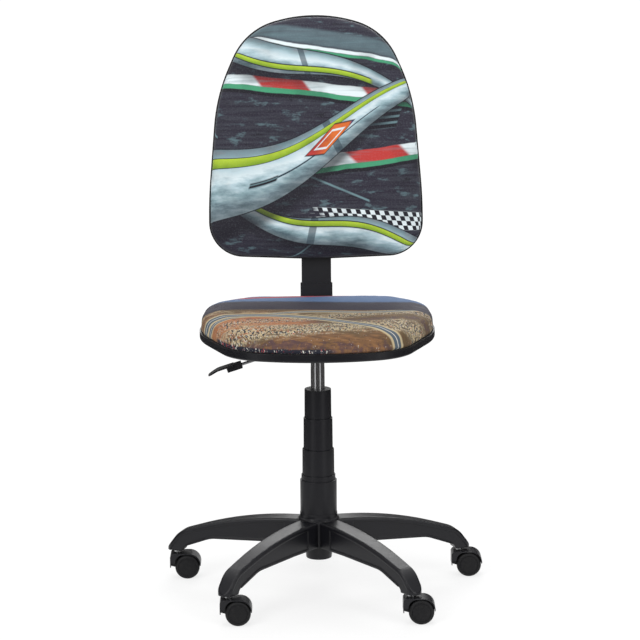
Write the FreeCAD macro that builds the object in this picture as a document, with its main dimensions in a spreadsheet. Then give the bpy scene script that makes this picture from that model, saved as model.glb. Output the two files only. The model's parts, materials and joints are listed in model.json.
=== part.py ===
import FreeCAD, Part
import Sketcher
import math
import os
from types import SimpleNamespace

# A child's swivel desk chair on a five-legged base, in millimetres.
# Origin: the column's axis at the floor. +Z is up, the sitter faces -Y, the sitter's right hand is at -X.

Vector = FreeCAD.Vector
Placement = FreeCAD.Placement
Rotation = FreeCAD.Rotation

doc = FreeCAD.newDocument("SwivelChair")

# Driving dimensions

driving_sizes = [
    # Seat
    ("seatHeight", 509),
    ("seatWidth", 474),
    ("seatDepth", 430),
    ("seatRim", 16),
    ("seatShellWall", 3),
    ("seatShellEdge", 5),
    ("seatBoardThickness", 13),
    ("seatBoardGap", 0.3),
    ("seatCushionThickness", 43.5),
    ("seatCushionEdge", 24),
    ("seatCushionTuck", 4),
    ("seatCrownShare", 0.1266),
    ("seatSquareShare", 1.103),
    ("armrestSpacing", 100),
    ("armrestOffset", 158),
    ("armrestForward", -20),
    # Bolts of the seat
    ("boltRadius", 4),
    ("boltClearance", 0.25),
    ("boltHeadHeight", 5.3),
    ("boltHeadAcross", 13),
    ("boltLength", 26),
    ("boltSpacingX", 120),
    ("boltSpacingY", 150),
    ("teeNutRadius", 5.4),
    ("teeNutFlange", 10),
    ("teeNutPlate", 1.5),
    ("teeNutLength", 9),
    ("smallBoltRadius", 3.1),
    ("smallTeeNutRadius", 4.3),
    ("smallTeeNutFlange", 8),
    # Mechanism under the seat
    ("housingDepth", 42),
    ("housingWidth", 74),
    ("housingWall", 2.5),
    ("housingFront", 45),
    ("housingRear", 128),
    ("housingShallow", 29),
    ("housingStepFront", 18),
    ("housingStepRear", 34),
    ("housingFlangeFront", 70),
    ("housingFlangeWidth", 150),
    ("housingFlangeCorner", 16),
    ("housingBend", 5),
    ("socketRadius", 18),
    ("socketDrop", 9),
    ("socketLength", 20),
    # Height lever
    ("leverRodRadius", 3),
    ("leverRodDrop", 10.5),
    ("leverInnerReach", 9),
    ("leverBendAt", 45),
    ("leverBendRadius", 14),
    ("leverDroop", 18),
    ("leverRodRun", 134),
    ("leverHoleClearance", 1.2),
    ("leverPinRadius", 1.25),
    ("leverPinInset", 4.5),
    ("leverPinOverhang", 0.5),
    ("leverLugThickness", 2.5),
    ("leverLugReach", 9),
    ("leverLugHeight", 10),
    ("handleStart", 112),
    ("handleBlockLength", 31),
    ("handleBlockHeight", 13.6),
    ("handleBlockWidth", 15),
    ("handleLength", 70),
    ("handleWidth", 27),
    ("handleThickness", 3.4),
    ("handleTipThickness", 2.2),
    ("handleTipDrop", 6),
    # Gas lift
    ("gasTubeRadius", 25),
    ("gasTubeFootRadius", 22.9),
    ("gasTubeWall", 1.8),
    ("gasTubeFoot", 69),
    ("gasTubeTaper", 74),
    ("gasTubeTopShare", 0.4562),
    ("gasTubeFloor", 3),
    ("bushingLength", 80),
    ("bushingCap", 2),
    ("columnRadius", 14),
    ("columnTopRadius", 13),
    ("columnTopDrop", 18),
    ("columnTaper", 40),
    ("columnOverlap", 72),
    ("columnBore", 11),
    ("columnGland", 10),
    ("columnHead", 48),
    ("runningClearance", 0.05),
    ("pistonRodRadius", 5),
    ("pistonRadius", 10.8),
    ("pistonHeight", 10),
    ("rodShoulderRadius", 9),
    ("rodShoulderHeight", 2),
    ("rodFootLength", 3),
    ("clipRadius", 9),
    ("clipThickness", 1.8),
    ("bearingRadius", 14),
    ("bearingWasher", 1.5),
    ("bearingBall", 2),
    ("bearingBalls", 10),
    ("bearingCage", 2),
    ("bumperRadius", 13),
    ("bumperHeight", 15),
    ("buttonRadius", 3.5),
    ("buttonTipRadius", 2.2),
    ("buttonLength", 30),
    ("buttonProud", 4),
    ("buttonRoom", 5),
    # Telescopic cover, from the base up
    ("coverFootRadius", 36.8),
    ("coverFootShare", 0.2024),
    ("coverCollarRadius", 34.2),
    ("coverCollarHeight", 11),
    ("coverLowerRadius", 31.8),
    ("coverLowerTopShare", 0.3943),
    ("coverLowerOverlap", 2.5),
    ("coverMiddleRadius", 29),
    ("coverMiddleTopShare", 0.5876),
    ("coverMiddleOverlap", 9),
    ("coverUpperRadius", 26.6),
    ("coverUpperTopShare", 0.7644),
    ("coverUpperOverlap", 11.5),
    ("coverWall", 1.3),
    ("coverFlare", 0.4),
    ("coverBead", 0.3),
    ("coverBeadHeight", 3),
    ("coverGap", 0.3),
    ("coverEdge", 0.6),
    # Star base
    ("legOverhang", 20),
    ("legTop", 148),
    ("legTip", 59),
    ("legTipLength", 33),
    ("legHubWidth", 46),
    ("legTipWidth", 33.5),
    ("legTipRound", 15),
    ("legBackCurve", 0.5886),
    ("legKneeShare", 0.1486),
    ("legInstepRadius", 60),
    ("legHeelRadius", 12),
    ("legTopEdge", 5),
    ("legLip", 9),
    ("legRecess", 1.6),
    ("legPanelStart", 66),
    ("legSole", 4.5),
    ("legWall", 3),
    ("legCeiling", 4),
    ("legRib", 2.4),
    ("legCellStart", 44),
    ("legCellGap", 27),
    ("hubTop", 160),
    ("hubRadius", 37.6),
    ("hubNeck", 40.5),
    ("hubFoot", 65),
    ("hubSkirt", 92),
    ("hubLip", 0.7),
    ("hubBossRadius", 25.8),
    # Casters
    ("stemCircle", 303),
    ("stemRadius", 5.5),
    ("stemLength", 19),
    ("stemCollarRadius", 7.5),
    ("stemCollarHeight", 6.2),
    ("stemJournalRadius", 4),
    ("stemJournalLength", 25),
    ("casterTrail", 19),
    ("wheelRadius", 25),
    ("wheelWidth", 16.5),
    ("wheelDome", 1.6),
    ("wheelTreadRound", 6),
    ("wheelCapRadius", 17.6),
    ("wheelCapGroove", 0.8),
    ("wheelBoreDepth", 12.3),
    ("wheelGap", 0.5),
    ("webWidth", 13),
    ("hoodWall", 1.8),
    ("hoodClearance", 0.5),
    ("hoodWidth", 44),
    ("hoodFront", 35.5),
    ("hoodFrontRound", 8),
    ("hoodEdge", 1.2),
    ("hoodDrop", 0.5),
    ("axleRadius", 3),
    ("axleHubDrop", 8),
    # Back bar and its covers
    ("barWidth", 50),
    ("barThickness", 8),
    ("barDrop", 11),
    ("barBend", 20),
    ("barUpright", 246),
    ("barDatumRise", 31),
    ("barLean", 6),
    ("barRise", 320),
    ("tiltPivotY", 45),
    ("tiltPivotDrop", 23),
    ("tiltPinRadius", 5),
    ("tiltPinOverhang", 2.5),
    ("tiltBarrelRadius", 9),
    ("tiltBarrelWidth", 60),
    ("barFront", 9),
    ("elbowWidth", 66),
    ("elbowDepth", 22),
    ("elbowLow", 9.5),
    ("elbowStart", 160),
    ("elbowTop", 43),
    ("elbowWall", 2.2),
    ("elbowBend", 16),
    ("elbowSeam", 0.8),
    ("sleeveWidth", 61),
    ("sleeveDepth", 17),
    ("sleeveWall", 2),
    ("sleeveBottom", 30),
    ("sleeveTop", 128),
    ("slideClearance", 0.2),
    # Tilt spring and its knob
    ("springY", 100),
    ("springRadius", 9.5),
    ("springWire", 1.25),
    ("springTurns", 3.5),
    ("springSeatRadius", 12),
    ("springSeatThickness", 2),
    ("tensionScrewRadius", 4),
    ("tensionScrewLength", 17),
    ("tensionNutHeight", 4),
    ("tensionNutAcross", 13),
    ("tensionKnobRadius", 18),
    ("tensionKnobHeight", 11),
    ("tensionKnobLobes", 8),
    ("tensionKnobLobeRadius", 4),
    # Backrest, in its own frame along the upright bar
    ("backWidth", 440),
    ("backHeight", 496),
    ("backBottom", 97.5),
    ("backFace", 24),
    ("backCushionThickness", 36),
    ("backCushionEdge", 20),
    ("backCushionTuck", 3),
    ("backCrownShare", 0.1364),
    ("backSquareShare", 0.888),
    ("backBoardThickness", 10),
    ("backBoardInset", 3.3),
    ("backShellDepth", 18),
    ("backShellWall", 3),
    ("backShellEdge", 9),
    ("spineWidth", 88),
    ("spineTopRoom", 54),
    ("spineBack", 15),
    ("spineCorner", 30),
    ("spineEdge", 6),
    ("spineSlotGap", 0.8),
    ("backGrooveDepth", 1.2),
    ("backGrooveWidth", 4),
    ("backGroovePitch", 26),
    ("backGrooveCount", 3),
    ("guideWidth", 64),
    ("guideBottom", 136),
    ("guideTop", 262),
    ("guideBack", 11),
    ("backScrewRadius", 2.2),
    ("backScrewHead", 4.2),
    ("backScrewHeadHeight", 2),
    ("backScrewLength", 14),
    ("backPillarRadius", 7),
    ("knobHeight", 196),
    ("knobRadius", 22),
    ("knobDepth", 20),
    ("knobStandoff", 1.5),
    ("knobLobes", 6),
    ("knobLobeRadius", 6),
    ("knobEdge", 2),
    ("knobScrewRadius", 4),
    ("knobHoleRadius", 6.5),
    # One overrun for every cut
    ("overrun", 5),
]

sheet = doc.addObject("Spreadsheet::Sheet", "Sizes")
for row, (alias, number) in enumerate(driving_sizes, start=1):
    sheet.set(f"A{row}", alias)
    sheet.set(f"B{row}", str(number))
    sheet.setAlias(f"B{row}", alias)
doc.recompute()


class Size:
    """A number that also carries its formula, so that one sum sets both the drawing and its binding."""

    def __init__(self, value, formula):
        self.value = float(value)
        self.formula = formula

    def __add__(self, other):
        return joined(self, "+", other)

    def __radd__(self, other):
        return joined(other, "+", self)

    def __sub__(self, other):
        return joined(self, "-", other)

    def __rsub__(self, other):
        return joined(other, "-", self)

    def __mul__(self, other):
        return joined(self, "*", other)

    def __rmul__(self, other):
        return joined(other, "*", self)

    def __truediv__(self, other):
        return joined(self, "/", other)

    def __neg__(self):
        return joined(0, "-", self)


def as_size(number):
    return number if isinstance(number, Size) else Size(number, repr(number))


def joined(left, sign, right):
    left, right = as_size(left), as_size(right)
    value = {
        "+": left.value + right.value,
        "-": left.value - right.value,
        "*": left.value * right.value,
        "/": left.value / right.value if right.value else 0,
    }[sign]
    return Size(value, f"({left.formula} {sign} {right.formula})")


def sine(angle):
    angle = as_size(angle)
    return Size(math.sin(math.radians(angle.value)), f"sin({angle.formula})")


def cosine(angle):
    angle = as_size(angle)
    return Size(math.cos(math.radians(angle.value)), f"cos({angle.formula})")


def tangent(angle):
    return sine(angle) / cosine(angle)


def least(a, b):
    a, b = as_size(a), as_size(b)
    return Size(min(a.value, b.value), f"min({a.formula}; {b.formula})")


s = SimpleNamespace(**{alias: Size(number, f"Sizes.{alias}") for alias, number in driving_sizes})


def bind(thing, path, size):
    """Binds a property of an object to its size's formula."""
    size = as_size(size)
    if "Sizes." in size.formula or size.value:
        thing.setExpression(path, size.formula)


# Sketches

def dimension(sketch, kind, *arguments):
    """Adds a dimension whose last argument is a size, bound to the sheet."""
    size = as_size(arguments[-1])
    index = sketch.addConstraint(Sketcher.Constraint(kind, *arguments[:-1], size.value))
    if "Sizes." in size.formula:
        sketch.setExpression(f"Constraints[{index}]", size.formula)


def place_point(sketch, geometry, end, x, y):
    dimension(sketch, "DistanceX", -1, 1, geometry, end, x)
    dimension(sketch, "DistanceY", -1, 1, geometry, end, y)


def outline(sketch, corners):
    """Draws a closed loop through corners (x, y), each rounded if it is (x, y, radius)."""
    corners = [tuple(as_size(c) for c in corner) for corner in corners]
    points = [Vector(c[0].value, c[1].value, 0) for c in corners]
    count = len(corners)
    starts, ends, arcs = [], [], []
    for i, corner in enumerate(corners):
        here = points[i]
        before = (here - points[i - 1]).normalize()
        after = (points[(i + 1) % count] - here).normalize()
        radius = corner[2].value if len(corner) > 2 else 0
        if not radius:
            starts.append(here)
            ends.append(here)
            arcs.append(None)
            continue
        turn = math.atan2(before.x * after.y - before.y * after.x, before.dot(after))
        reach = radius * math.tan(abs(turn) / 2)
        start, end = here - before * reach, here + after * reach
        side = math.copysign(1, turn)
        centre = start + Vector(-before.y, before.x, 0) * radius * side
        first, last = (start, end) if side > 0 else (end, start)
        angles = [math.atan2(p.y - centre.y, p.x - centre.x) for p in (first, last)]
        starts.append(start)
        ends.append(end)
        circle = Part.Circle(centre, Vector(0, 0, 1), radius)
        arcs.append((Part.ArcOfCircle(circle, *angles), 1 if side > 0 else 2, corner[2]))
    lines = [
        sketch.addGeometry(Part.LineSegment(ends[i], starts[(i + 1) % count]), False)
        for i in range(count)
    ]
    for i, corner in enumerate(corners):
        before, after = lines[i - 1], lines[i]
        if arcs[i] is None:
            sketch.addConstraint(Sketcher.Constraint("Coincident", before, 2, after, 1))
            place_point(sketch, after, 1, corner[0], corner[1])
            continue
        arc_shape, entry, radius = arcs[i]
        arc = sketch.addGeometry(arc_shape, False)
        sketch.addConstraint(Sketcher.Constraint("Tangent", before, 2, arc, entry))
        sketch.addConstraint(Sketcher.Constraint("Tangent", after, 1, arc, 3 - entry))
        dimension(sketch, "Radius", arc, radius)
        corner_point = sketch.addGeometry(Part.Point(points[i]), True)
        sketch.addConstraint(Sketcher.Constraint("PointOnObject", corner_point, 1, before))
        sketch.addConstraint(Sketcher.Constraint("PointOnObject", corner_point, 1, after))
        place_point(sketch, corner_point, 1, corner[0], corner[1])


def circle(sketch, x, y, radius):
    x, y, radius = as_size(x), as_size(y), as_size(radius)
    shape = Part.Circle(Vector(x.value, y.value, 0), Vector(0, 0, 1), radius.value)
    index = sketch.addGeometry(shape, False)
    place_point(sketch, index, 3, x, y)
    dimension(sketch, "Radius", index, radius)


def rectangle(sketch, left, bottom, right, top, radius=0):
    corners = [(left, bottom), (right, bottom), (right, top), (left, top)]
    if as_size(radius).value:
        corners = [(*corner, radius) for corner in corners]
    outline(sketch, corners)


def mirrored(half):
    """A closed outline from its right half, listed from the bottom up."""
    left = [(-corner[0], *corner[1:]) for corner in reversed(half) if as_size(corner[0]).value]
    return list(half) + left


# Bodies

class Piece:
    """One sub-part: a body with its own sketches and features."""

    def __init__(self, label):
        self.body = doc.addObject("PartDesign::Body", label)
        self.body.Label = label

    def sketch(self, plane, offset=0):
        """A sketch on the body's own XY, XZ or YZ plane, moved along the plane's normal."""
        sketch = self.body.newObject("Sketcher::SketchObject", "Sketch")
        support = [f for f in self.body.Origin.OriginFeatures if f.Role == plane + "_Plane"]
        sketch.AttachmentSupport = [(support[0], "")]
        sketch.MapMode = "FlatFace"
        bind(sketch, "AttachmentOffset.Base.z", offset)
        return sketch

    def feature(self, kind, profile, **settings):
        feature = self.body.newObject("PartDesign::" + kind, kind)
        feature.Profile = (profile, [""])
        for name, value in settings.items():
            setattr(feature, name, value)
        profile.Visibility = False
        return feature

    def pad(self, profile, length, symmetric=False, reverse=False):
        side = "Symmetric" if symmetric else "One side"
        feature = self.feature("Pad", profile, SideType=side, Reversed=reverse)
        bind(feature, "Length", length)
        return feature

    def pocket(self, profile, length=None, symmetric=False, reverse=False):
        side = "Symmetric" if symmetric else "One side"
        feature = self.feature("Pocket", profile, SideType=side, Reversed=reverse)
        if length is None:
            feature.Type = "ThroughAll"
        else:
            bind(feature, "Length", length)
        return feature

    def revolve(self, profile, axis="V_Axis"):
        return self.feature("Revolution", profile, ReferenceAxis=(profile, [axis]), Angle=360)

    def groove(self, profile, axis="V_Axis"):
        return self.feature("Groove", profile, ReferenceAxis=(profile, [axis]), Angle=360)

    def loft(self, profiles):
        return self.feature("AdditiveLoft", profiles[0], Sections=[(p, [""]) for p in profiles[1:]])

    def polar(self, originals, count):
        """Repeats features round Z, or the whole shape if none are given."""
        pattern = self.body.newObject("PartDesign::PolarPattern", "PolarPattern")
        pattern.TransformMode = "Features" if originals else "Whole shape"
        if originals:
            pattern.Originals = originals
        axis = [f for f in self.body.Origin.OriginFeatures if f.Role == "Z_Axis"]
        pattern.Axis = (axis[0], [""])
        pattern.Angle = 360
        pattern.Occurrences = int(as_size(count).value)
        self.body.Tip = pattern
        return pattern

    def mirror(self, originals, plane):
        mirror = self.body.newObject("PartDesign::Mirrored", "Mirrored")
        support = [f for f in self.body.Origin.OriginFeatures if f.Role == plane + "_Plane"]
        mirror.MirrorPlane = (support[0], [""])
        mirror.Originals = originals
        self.body.Tip = mirror
        return mirror

    def fillet(self, radius, chosen):
        """Rounds the edges that the given test accepts."""
        doc.recompute()
        base = self.body.Tip
        edges = [f"Edge{i}" for i, edge in enumerate(base.Shape.Edges, start=1) if chosen(edge)]
        if not edges:
            raise ValueError(f"{self.body.Label}: no edge to round")
        fillet = self.body.newObject("PartDesign::Fillet", "Fillet")
        fillet.Base = (base, edges)
        bind(fillet, "Radius", radius)
        return fillet

    def place(self, x=0, y=0, z=0, axis=None, angle=0):
        if axis is not None:
            turned = Rotation(axis, as_size(angle).value)
            self.body.Placement = Placement(Vector(), turned)
            bind(self.body, "Placement.Rotation.Angle", angle)
        bind(self.body, "Placement.Base.x", x)
        bind(self.body, "Placement.Base.y", y)
        bind(self.body, "Placement.Base.z", z)
        return self


def turned(label, profile):
    """A piece turned about Z from an outline of (radius, height) corners."""
    piece = Piece(label)
    sketch = piece.sketch("XZ")
    outline(sketch, profile)
    piece.revolve(sketch)
    return piece


def mid(edge):
    return edge.valueAt((edge.FirstParameter + edge.LastParameter) / 2)


def near(value, size):
    return abs(value - as_size(size).value) < 0.01


# Heights and reaches that follow from the seat's height and the casters' circle

column_top = s.seatHeight - s.columnTopDrop
lift_rise = column_top - s.hubTop
tilt_height = s.seatHeight - s.tiltPivotDrop
lever_height = s.seatHeight - s.leverRodDrop
bar_height = s.seatHeight - s.barDrop
bar_datum = s.seatHeight + s.barDatumRise
leg_reach = s.stemCircle + s.legOverhang
spine_top = s.barRise + s.spineTopRoom


# Outlines shared by neighbouring pieces

def scales(width, depth, square):
    """What a rounding keeps to: both lengths for a corner, or one over the other for a shallow bow."""
    return {
        "corner": least(width, depth * square),
        "bow across": width * width / depth,
        "bow along": depth * depth / width,
    }


seat_scales = scales(s.seatWidth, s.seatDepth, s.seatSquareShare)
back_scales = scales(s.backWidth, s.backHeight, s.backSquareShare)
seat_crown = seat_scales["corner"] * s.seatCrownShare
back_crown = back_scales["corner"] * s.backCrownShare

seat_outline_shares = [
    # across over the half width, along over the depth, rounding over its scale
    (0, -0.539, 0.712, "bow across"),
    (0.704, -0.417, 0.236, "corner"),
    (1.010, 0.028, 0.54, "corner"),
    (0.950, 0.50, 0.255, "corner"),
]

back_outline_shares = [
    # across over the half width, up over the height, rounding over its scale
    (0, -0.009, 2.255, "bow across"),
    (1.0, 0.008, 0.163, "corner"),
    (1.0, 0.244, 1.731, "bow along"),
    (0.920, 0.670, 0.661, "bow along"),
    (0.648, 0.941, 0.30, "corner"),
    (0, 1.0225, 0.744, "bow across"),
]


def seat_outline(inset):
    """The seat's plan, drawn in by the inset all round."""
    half, depth = s.seatWidth / 2 - inset, s.seatDepth - 2 * inset
    return mirrored([
        (half * across, depth * along, seat_scales[scale] * rounding - inset)
        for across, along, rounding, scale in seat_outline_shares
    ])


def back_outline(inset):
    """The backrest's front view, drawn in by the inset all round, above the backrest's bottom."""
    half, height = s.backWidth / 2 - inset, s.backHeight - 2 * inset
    return mirrored([
        (half * across, s.backBottom + inset + height * up, back_scales[scale] * rounding - inset)
        for across, up, rounding, scale in back_outline_shares
    ])


def cushion_levels(edge, top, tuck, crown):
    """Heights over the board with the inset at each: tucked in, full, then rounding to a crown."""
    room = top - edge
    return [
        (0, tuck),
        (edge * 0.5, 0),
        (edge, tuck / 4),
        (edge + room * 0.56, crown * 0.13),
        (edge + room * 0.83, crown * 0.33),
        (edge + room * 0.94, crown * 0.55),
        (edge + room * 0.99, crown * 0.78),
        (top, crown),
    ]


# Seat

seat_board_bottom = s.seatHeight + s.seatShellWall
seat_board_top = seat_board_bottom + s.seatBoardThickness
flange_bottom = s.seatHeight - s.housingWall
bolt_places = [
    (side * s.boltSpacingX / 2, (s.housingRear - s.housingFlangeFront + end * s.boltSpacingY) / 2)
    for side in (-1, 1) for end in (-1, 1)
]
armrest_places = [
    (side * s.armrestOffset, s.armrestForward + end * s.armrestSpacing)
    for side in (-1, 1) for end in (0, 1)
]


def make_seat_shell():
    piece = Piece("seat_shell")
    dish = piece.sketch("XY", s.seatHeight)
    outline(dish, seat_outline(0))
    piece.pad(dish, s.seatRim)
    piece.fillet(s.seatShellEdge, lambda e: near(mid(e).z, s.seatHeight) and near(e.BoundBox.ZLength, 0))
    inside = piece.sketch("XY", seat_board_bottom)
    outline(inside, seat_outline(s.seatShellWall))
    piece.pocket(inside, s.seatRim + s.overrun, reverse=True)
    holes = piece.sketch("XY", s.seatHeight)
    for x, y in bolt_places:
        circle(holes, x, y, s.boltRadius + s.boltClearance)
    for x, y in armrest_places:
        circle(holes, x, y, s.smallBoltRadius)
    piece.pocket(holes, s.seatShellWall + s.overrun, reverse=True)


def make_seat_board():
    piece = Piece("seat_board")
    sheet_of_ply = piece.sketch("XY", seat_board_bottom)
    outline(sheet_of_ply, seat_outline(s.seatShellWall + s.seatBoardGap))
    piece.pad(sheet_of_ply, s.seatBoardThickness)
    for places, barrel, flange in (
        (bolt_places, s.teeNutRadius, s.teeNutFlange),
        (armrest_places, s.smallTeeNutRadius, s.smallTeeNutFlange),
    ):
        bores = piece.sketch("XY", seat_board_bottom)
        seats = piece.sketch("XY", seat_board_top - s.teeNutPlate)
        for x, y in places:
            circle(bores, x, y, barrel)
            circle(seats, x, y, flange)
        piece.pocket(bores, s.seatBoardThickness + s.overrun, reverse=True)
        piece.pocket(seats, s.teeNutPlate + s.overrun, reverse=True)


def make_seat_cushion():
    """Foam and cover: tucked in at the board, full at the edge, crowned on top."""
    piece = Piece("seat_cushion")
    sections = []
    for height, inset in cushion_levels(
        s.seatCushionEdge, s.seatCushionThickness, s.seatCushionTuck, seat_crown,
    ):
        section = piece.sketch("XY", seat_board_top + height)
        outline(section, seat_outline(inset))
        sections.append(section)
    piece.loft(sections)


def make_tee_nuts():
    """Nuts pressed into the board: four for the mechanism and two a side for armrests."""
    piece = Piece("seat_tee_nuts")
    for places, bore, barrel, flange in (
        (bolt_places, s.boltRadius + s.runningClearance, s.teeNutRadius, s.teeNutFlange),
        (armrest_places, s.smallBoltRadius, s.smallTeeNutRadius, s.smallTeeNutFlange),
    ):
        plates = piece.sketch("XY", seat_board_top - s.teeNutPlate)
        barrels = piece.sketch("XY", seat_board_top - s.teeNutLength)
        bores = piece.sketch("XY", seat_board_top - s.teeNutLength)
        for x, y in places:
            circle(plates, x, y, flange)
            circle(barrels, x, y, barrel)
            circle(bores, x, y, bore)
        piece.pad(plates, s.teeNutPlate)
        piece.pad(barrels, s.teeNutLength)
        piece.pocket(bores, s.teeNutLength + s.overrun, reverse=True)


def hexagon(sketch, x, y, across):
    """A hexagon by its width across the flats."""
    corner = across / 2 / cosine(30)
    outline(sketch, [(x + corner * cosine(60 * k), y + corner * sine(60 * k)) for k in range(6)])


def make_seat_bolts():
    piece = Piece("seat_bolts")
    heads = piece.sketch("XY", flange_bottom - s.boltHeadHeight)
    shanks = piece.sketch("XY", flange_bottom)
    for x, y in bolt_places:
        hexagon(heads, x, y, s.boltHeadAcross)
        circle(shanks, x, y, s.boltRadius)
    piece.pad(heads, s.boltHeadHeight)
    through = s.housingWall + s.seatShellWall + s.seatBoardThickness - s.teeNutPlate
    piece.pad(shanks, least(s.boltLength, through))


# Mechanism under the seat

housing_bottom = s.seatHeight - s.housingDepth
housing_floor = housing_bottom + s.housingWall
inner_half = s.housingWidth / 2 - s.housingWall
tension_screw_top = housing_floor
bar_half = s.barThickness / 2
lug_inner = s.leverRodRadius + s.leverHoleClearance + s.runningClearance
lever_pin_x = s.leverPinInset - inner_half


def make_housing():
    """Pressed steel channel, shallow round the column and deeper behind it, flanged to bolt to the seat."""
    piece = Piece("mechanism_housing")
    half, flange = s.housingWidth / 2, s.housingFlangeWidth / 2
    wall, front = s.housingWall, s.housingFront
    shallow = s.seatHeight - s.housingShallow
    outside = piece.sketch("YZ")
    outline(outside, [
        (-front, s.seatHeight),
        (-front, shallow, s.housingBend),
        (s.housingStepFront, shallow),
        (s.housingStepRear, housing_bottom),
        (s.housingRear, housing_bottom),
        (s.housingRear, s.seatHeight),
    ])
    piece.pad(outside, s.housingWidth, symmetric=True)
    piece.fillet(s.housingBend, lambda e: near(e.BoundBox.XLength, 0) and near(abs(mid(e).x), half)
                 and mid(e).z < shallow.value + 1)
    inside = piece.sketch("YZ")
    outline(inside, [
        (wall - front, s.seatHeight + s.overrun),
        (wall - front, shallow + wall),
        (s.housingStepFront + wall / 2, shallow + wall),
        (s.housingStepRear + wall / 2, housing_floor),
        (s.housingRear + s.overrun, housing_floor),
        (s.housingRear + s.overrun, s.seatHeight + s.overrun),
    ])
    piece.pocket(inside, s.housingWidth - 2 * wall, symmetric=True)
    plate = piece.sketch("XY", flange_bottom)
    rectangle(plate, -flange, -s.housingFlangeFront, flange, s.housingRear, s.housingFlangeCorner)
    rectangle(plate, wall - half, wall - front, half - wall, s.housingRear - s.housingFlangeCorner)
    for x, y in bolt_places:
        circle(plate, x, y, s.boltRadius + s.boltClearance)
    piece.pad(plate, wall)
    nut = piece.sketch("XY", housing_bottom)
    hexagon(nut, 0, s.springY, s.tensionNutAcross)
    piece.pad(nut, s.tensionNutHeight, reverse=True)
    floor_holes = piece.sketch("XY", shallow + wall + s.overrun)
    circle(floor_holes, 0, 0, s.socketRadius)
    circle(floor_holes, 0, s.springY, s.tensionScrewRadius + s.runningClearance)
    piece.pocket(floor_holes, s.housingDepth)
    pin = piece.sketch("YZ", half + s.overrun)
    circle(pin, s.tiltPivotY, tilt_height, s.tiltPinRadius)
    piece.pocket(pin, s.housingWidth + 2 * s.overrun)
    lever_hole = piece.sketch("YZ", -half - s.overrun)
    circle(lever_hole, 0, lever_height, s.leverRodRadius + s.leverHoleClearance)
    piece.pocket(lever_hole, wall + 2 * s.overrun, reverse=True)
    lugs = piece.sketch("YZ", -inner_half)
    for side in (-1, 1):
        inner, outer = side * lug_inner, side * (lug_inner + s.leverLugThickness)
        left, right = (inner, outer) if side > 0 else (outer, inner)
        low, high = lever_height - s.leverLugHeight / 2, lever_height + s.leverLugHeight / 2
        rectangle(lugs, left, low, right, high)
    piece.pad(lugs, s.leverLugReach)
    lug_bore = piece.sketch("XZ", lug_inner + 2 * s.leverLugThickness)
    circle(lug_bore, lever_pin_x, lever_height, s.leverPinRadius + s.runningClearance)
    piece.pocket(lug_bore, 2 * lug_inner + 4 * s.leverLugThickness)


def make_socket():
    bottom = s.seatHeight - s.housingShallow - s.socketDrop
    column_shoulder = column_top - s.columnTaper
    narrowing = (s.columnRadius - s.columnTopRadius) / s.columnTaper
    low = s.columnRadius - narrowing * (bottom - column_shoulder)
    high = s.columnRadius - narrowing * (bottom + s.socketLength - column_shoulder)
    turned("column_socket", [
        (low, bottom),
        (s.socketRadius, bottom),
        (s.socketRadius, bottom + s.socketLength),
        (high, bottom + s.socketLength),
    ])


def make_tilt_pin():
    piece = Piece("tilt_pin")
    section = piece.sketch("YZ")
    circle(section, s.tiltPivotY, tilt_height, s.tiltPinRadius)
    piece.pad(section, s.housingWidth + 2 * s.tiltPinOverhang, symmetric=True)


def make_spring():
    """Compression spring between its seat and the bar, one wire in an unbroken helix."""
    low = housing_floor + s.springSeatThickness + s.springWire
    high = bar_height - bar_half - s.springWire - s.coverGap
    radius, wire, turns = s.springRadius.value, s.springWire.value, s.springTurns.value
    arcs = int(turns * 4)
    climb = (high.value - low.value) / arcs

    def on_helix(quarters):
        angle = math.pi / 2 * quarters
        along = s.springY.value + radius * math.sin(angle)
        return Vector(radius * math.cos(angle), along, low.value + climb * quarters)

    path = Part.Wire([
        Part.Arc(on_helix(k), on_helix(k + 0.5), on_helix(k + 1)).toShape() for k in range(arcs)
    ])
    first = path.Edges[0]
    section = Part.makeCircle(wire, on_helix(0), first.tangentAt(first.FirstParameter))
    spring = doc.addObject("Part::Feature", "tilt_spring")
    spring.Shape = path.makePipeShell([Part.Wire([section])], True, False)
    print(f"tilt spring: least gap between turns {climb * 4 - 2 * wire:.2f} mm")


def make_spring_seat():
    piece = Piece("spring_seat")
    disc = piece.sketch("XY", housing_floor)
    circle(disc, 0, s.springY, s.springSeatRadius)
    piece.pad(disc, s.springSeatThickness)


def make_tension_screw():
    piece = Piece("tension_screw")
    section = piece.sketch("XY", tension_screw_top)
    circle(section, 0, s.springY, s.tensionScrewRadius)
    piece.pad(section, s.tensionScrewLength, reverse=True)


def make_tension_knob():
    """Lobed hand knob on the screw's lower end."""
    piece = Piece("tension_knob")
    low = tension_screw_top - s.tensionScrewLength - s.housingWall / 2
    disc = piece.sketch("XY", low)
    circle(disc, 0, 0, s.tensionKnobRadius)
    piece.pad(disc, s.tensionKnobHeight)
    piece.fillet(s.knobEdge, lambda e: near(e.BoundBox.ZLength, 0))
    bite = piece.sketch("XY", low - s.overrun)
    circle(bite, s.tensionKnobRadius + s.tensionKnobLobeRadius / 2, 0, s.tensionKnobLobeRadius)
    flute = piece.pocket(bite, s.tensionKnobHeight + 2 * s.overrun, reverse=True)
    piece.polar([flute], s.tensionKnobLobes)
    bore = piece.sketch("XY", low + s.housingWall / 2)
    circle(bore, 0, 0, s.tensionScrewRadius)
    piece.pocket(bore, s.tensionKnobHeight, reverse=True)
    piece.place(y=s.springY)


# Height lever: the rod lies over the valve button, passes the housing's wall and droops to its handle

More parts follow.
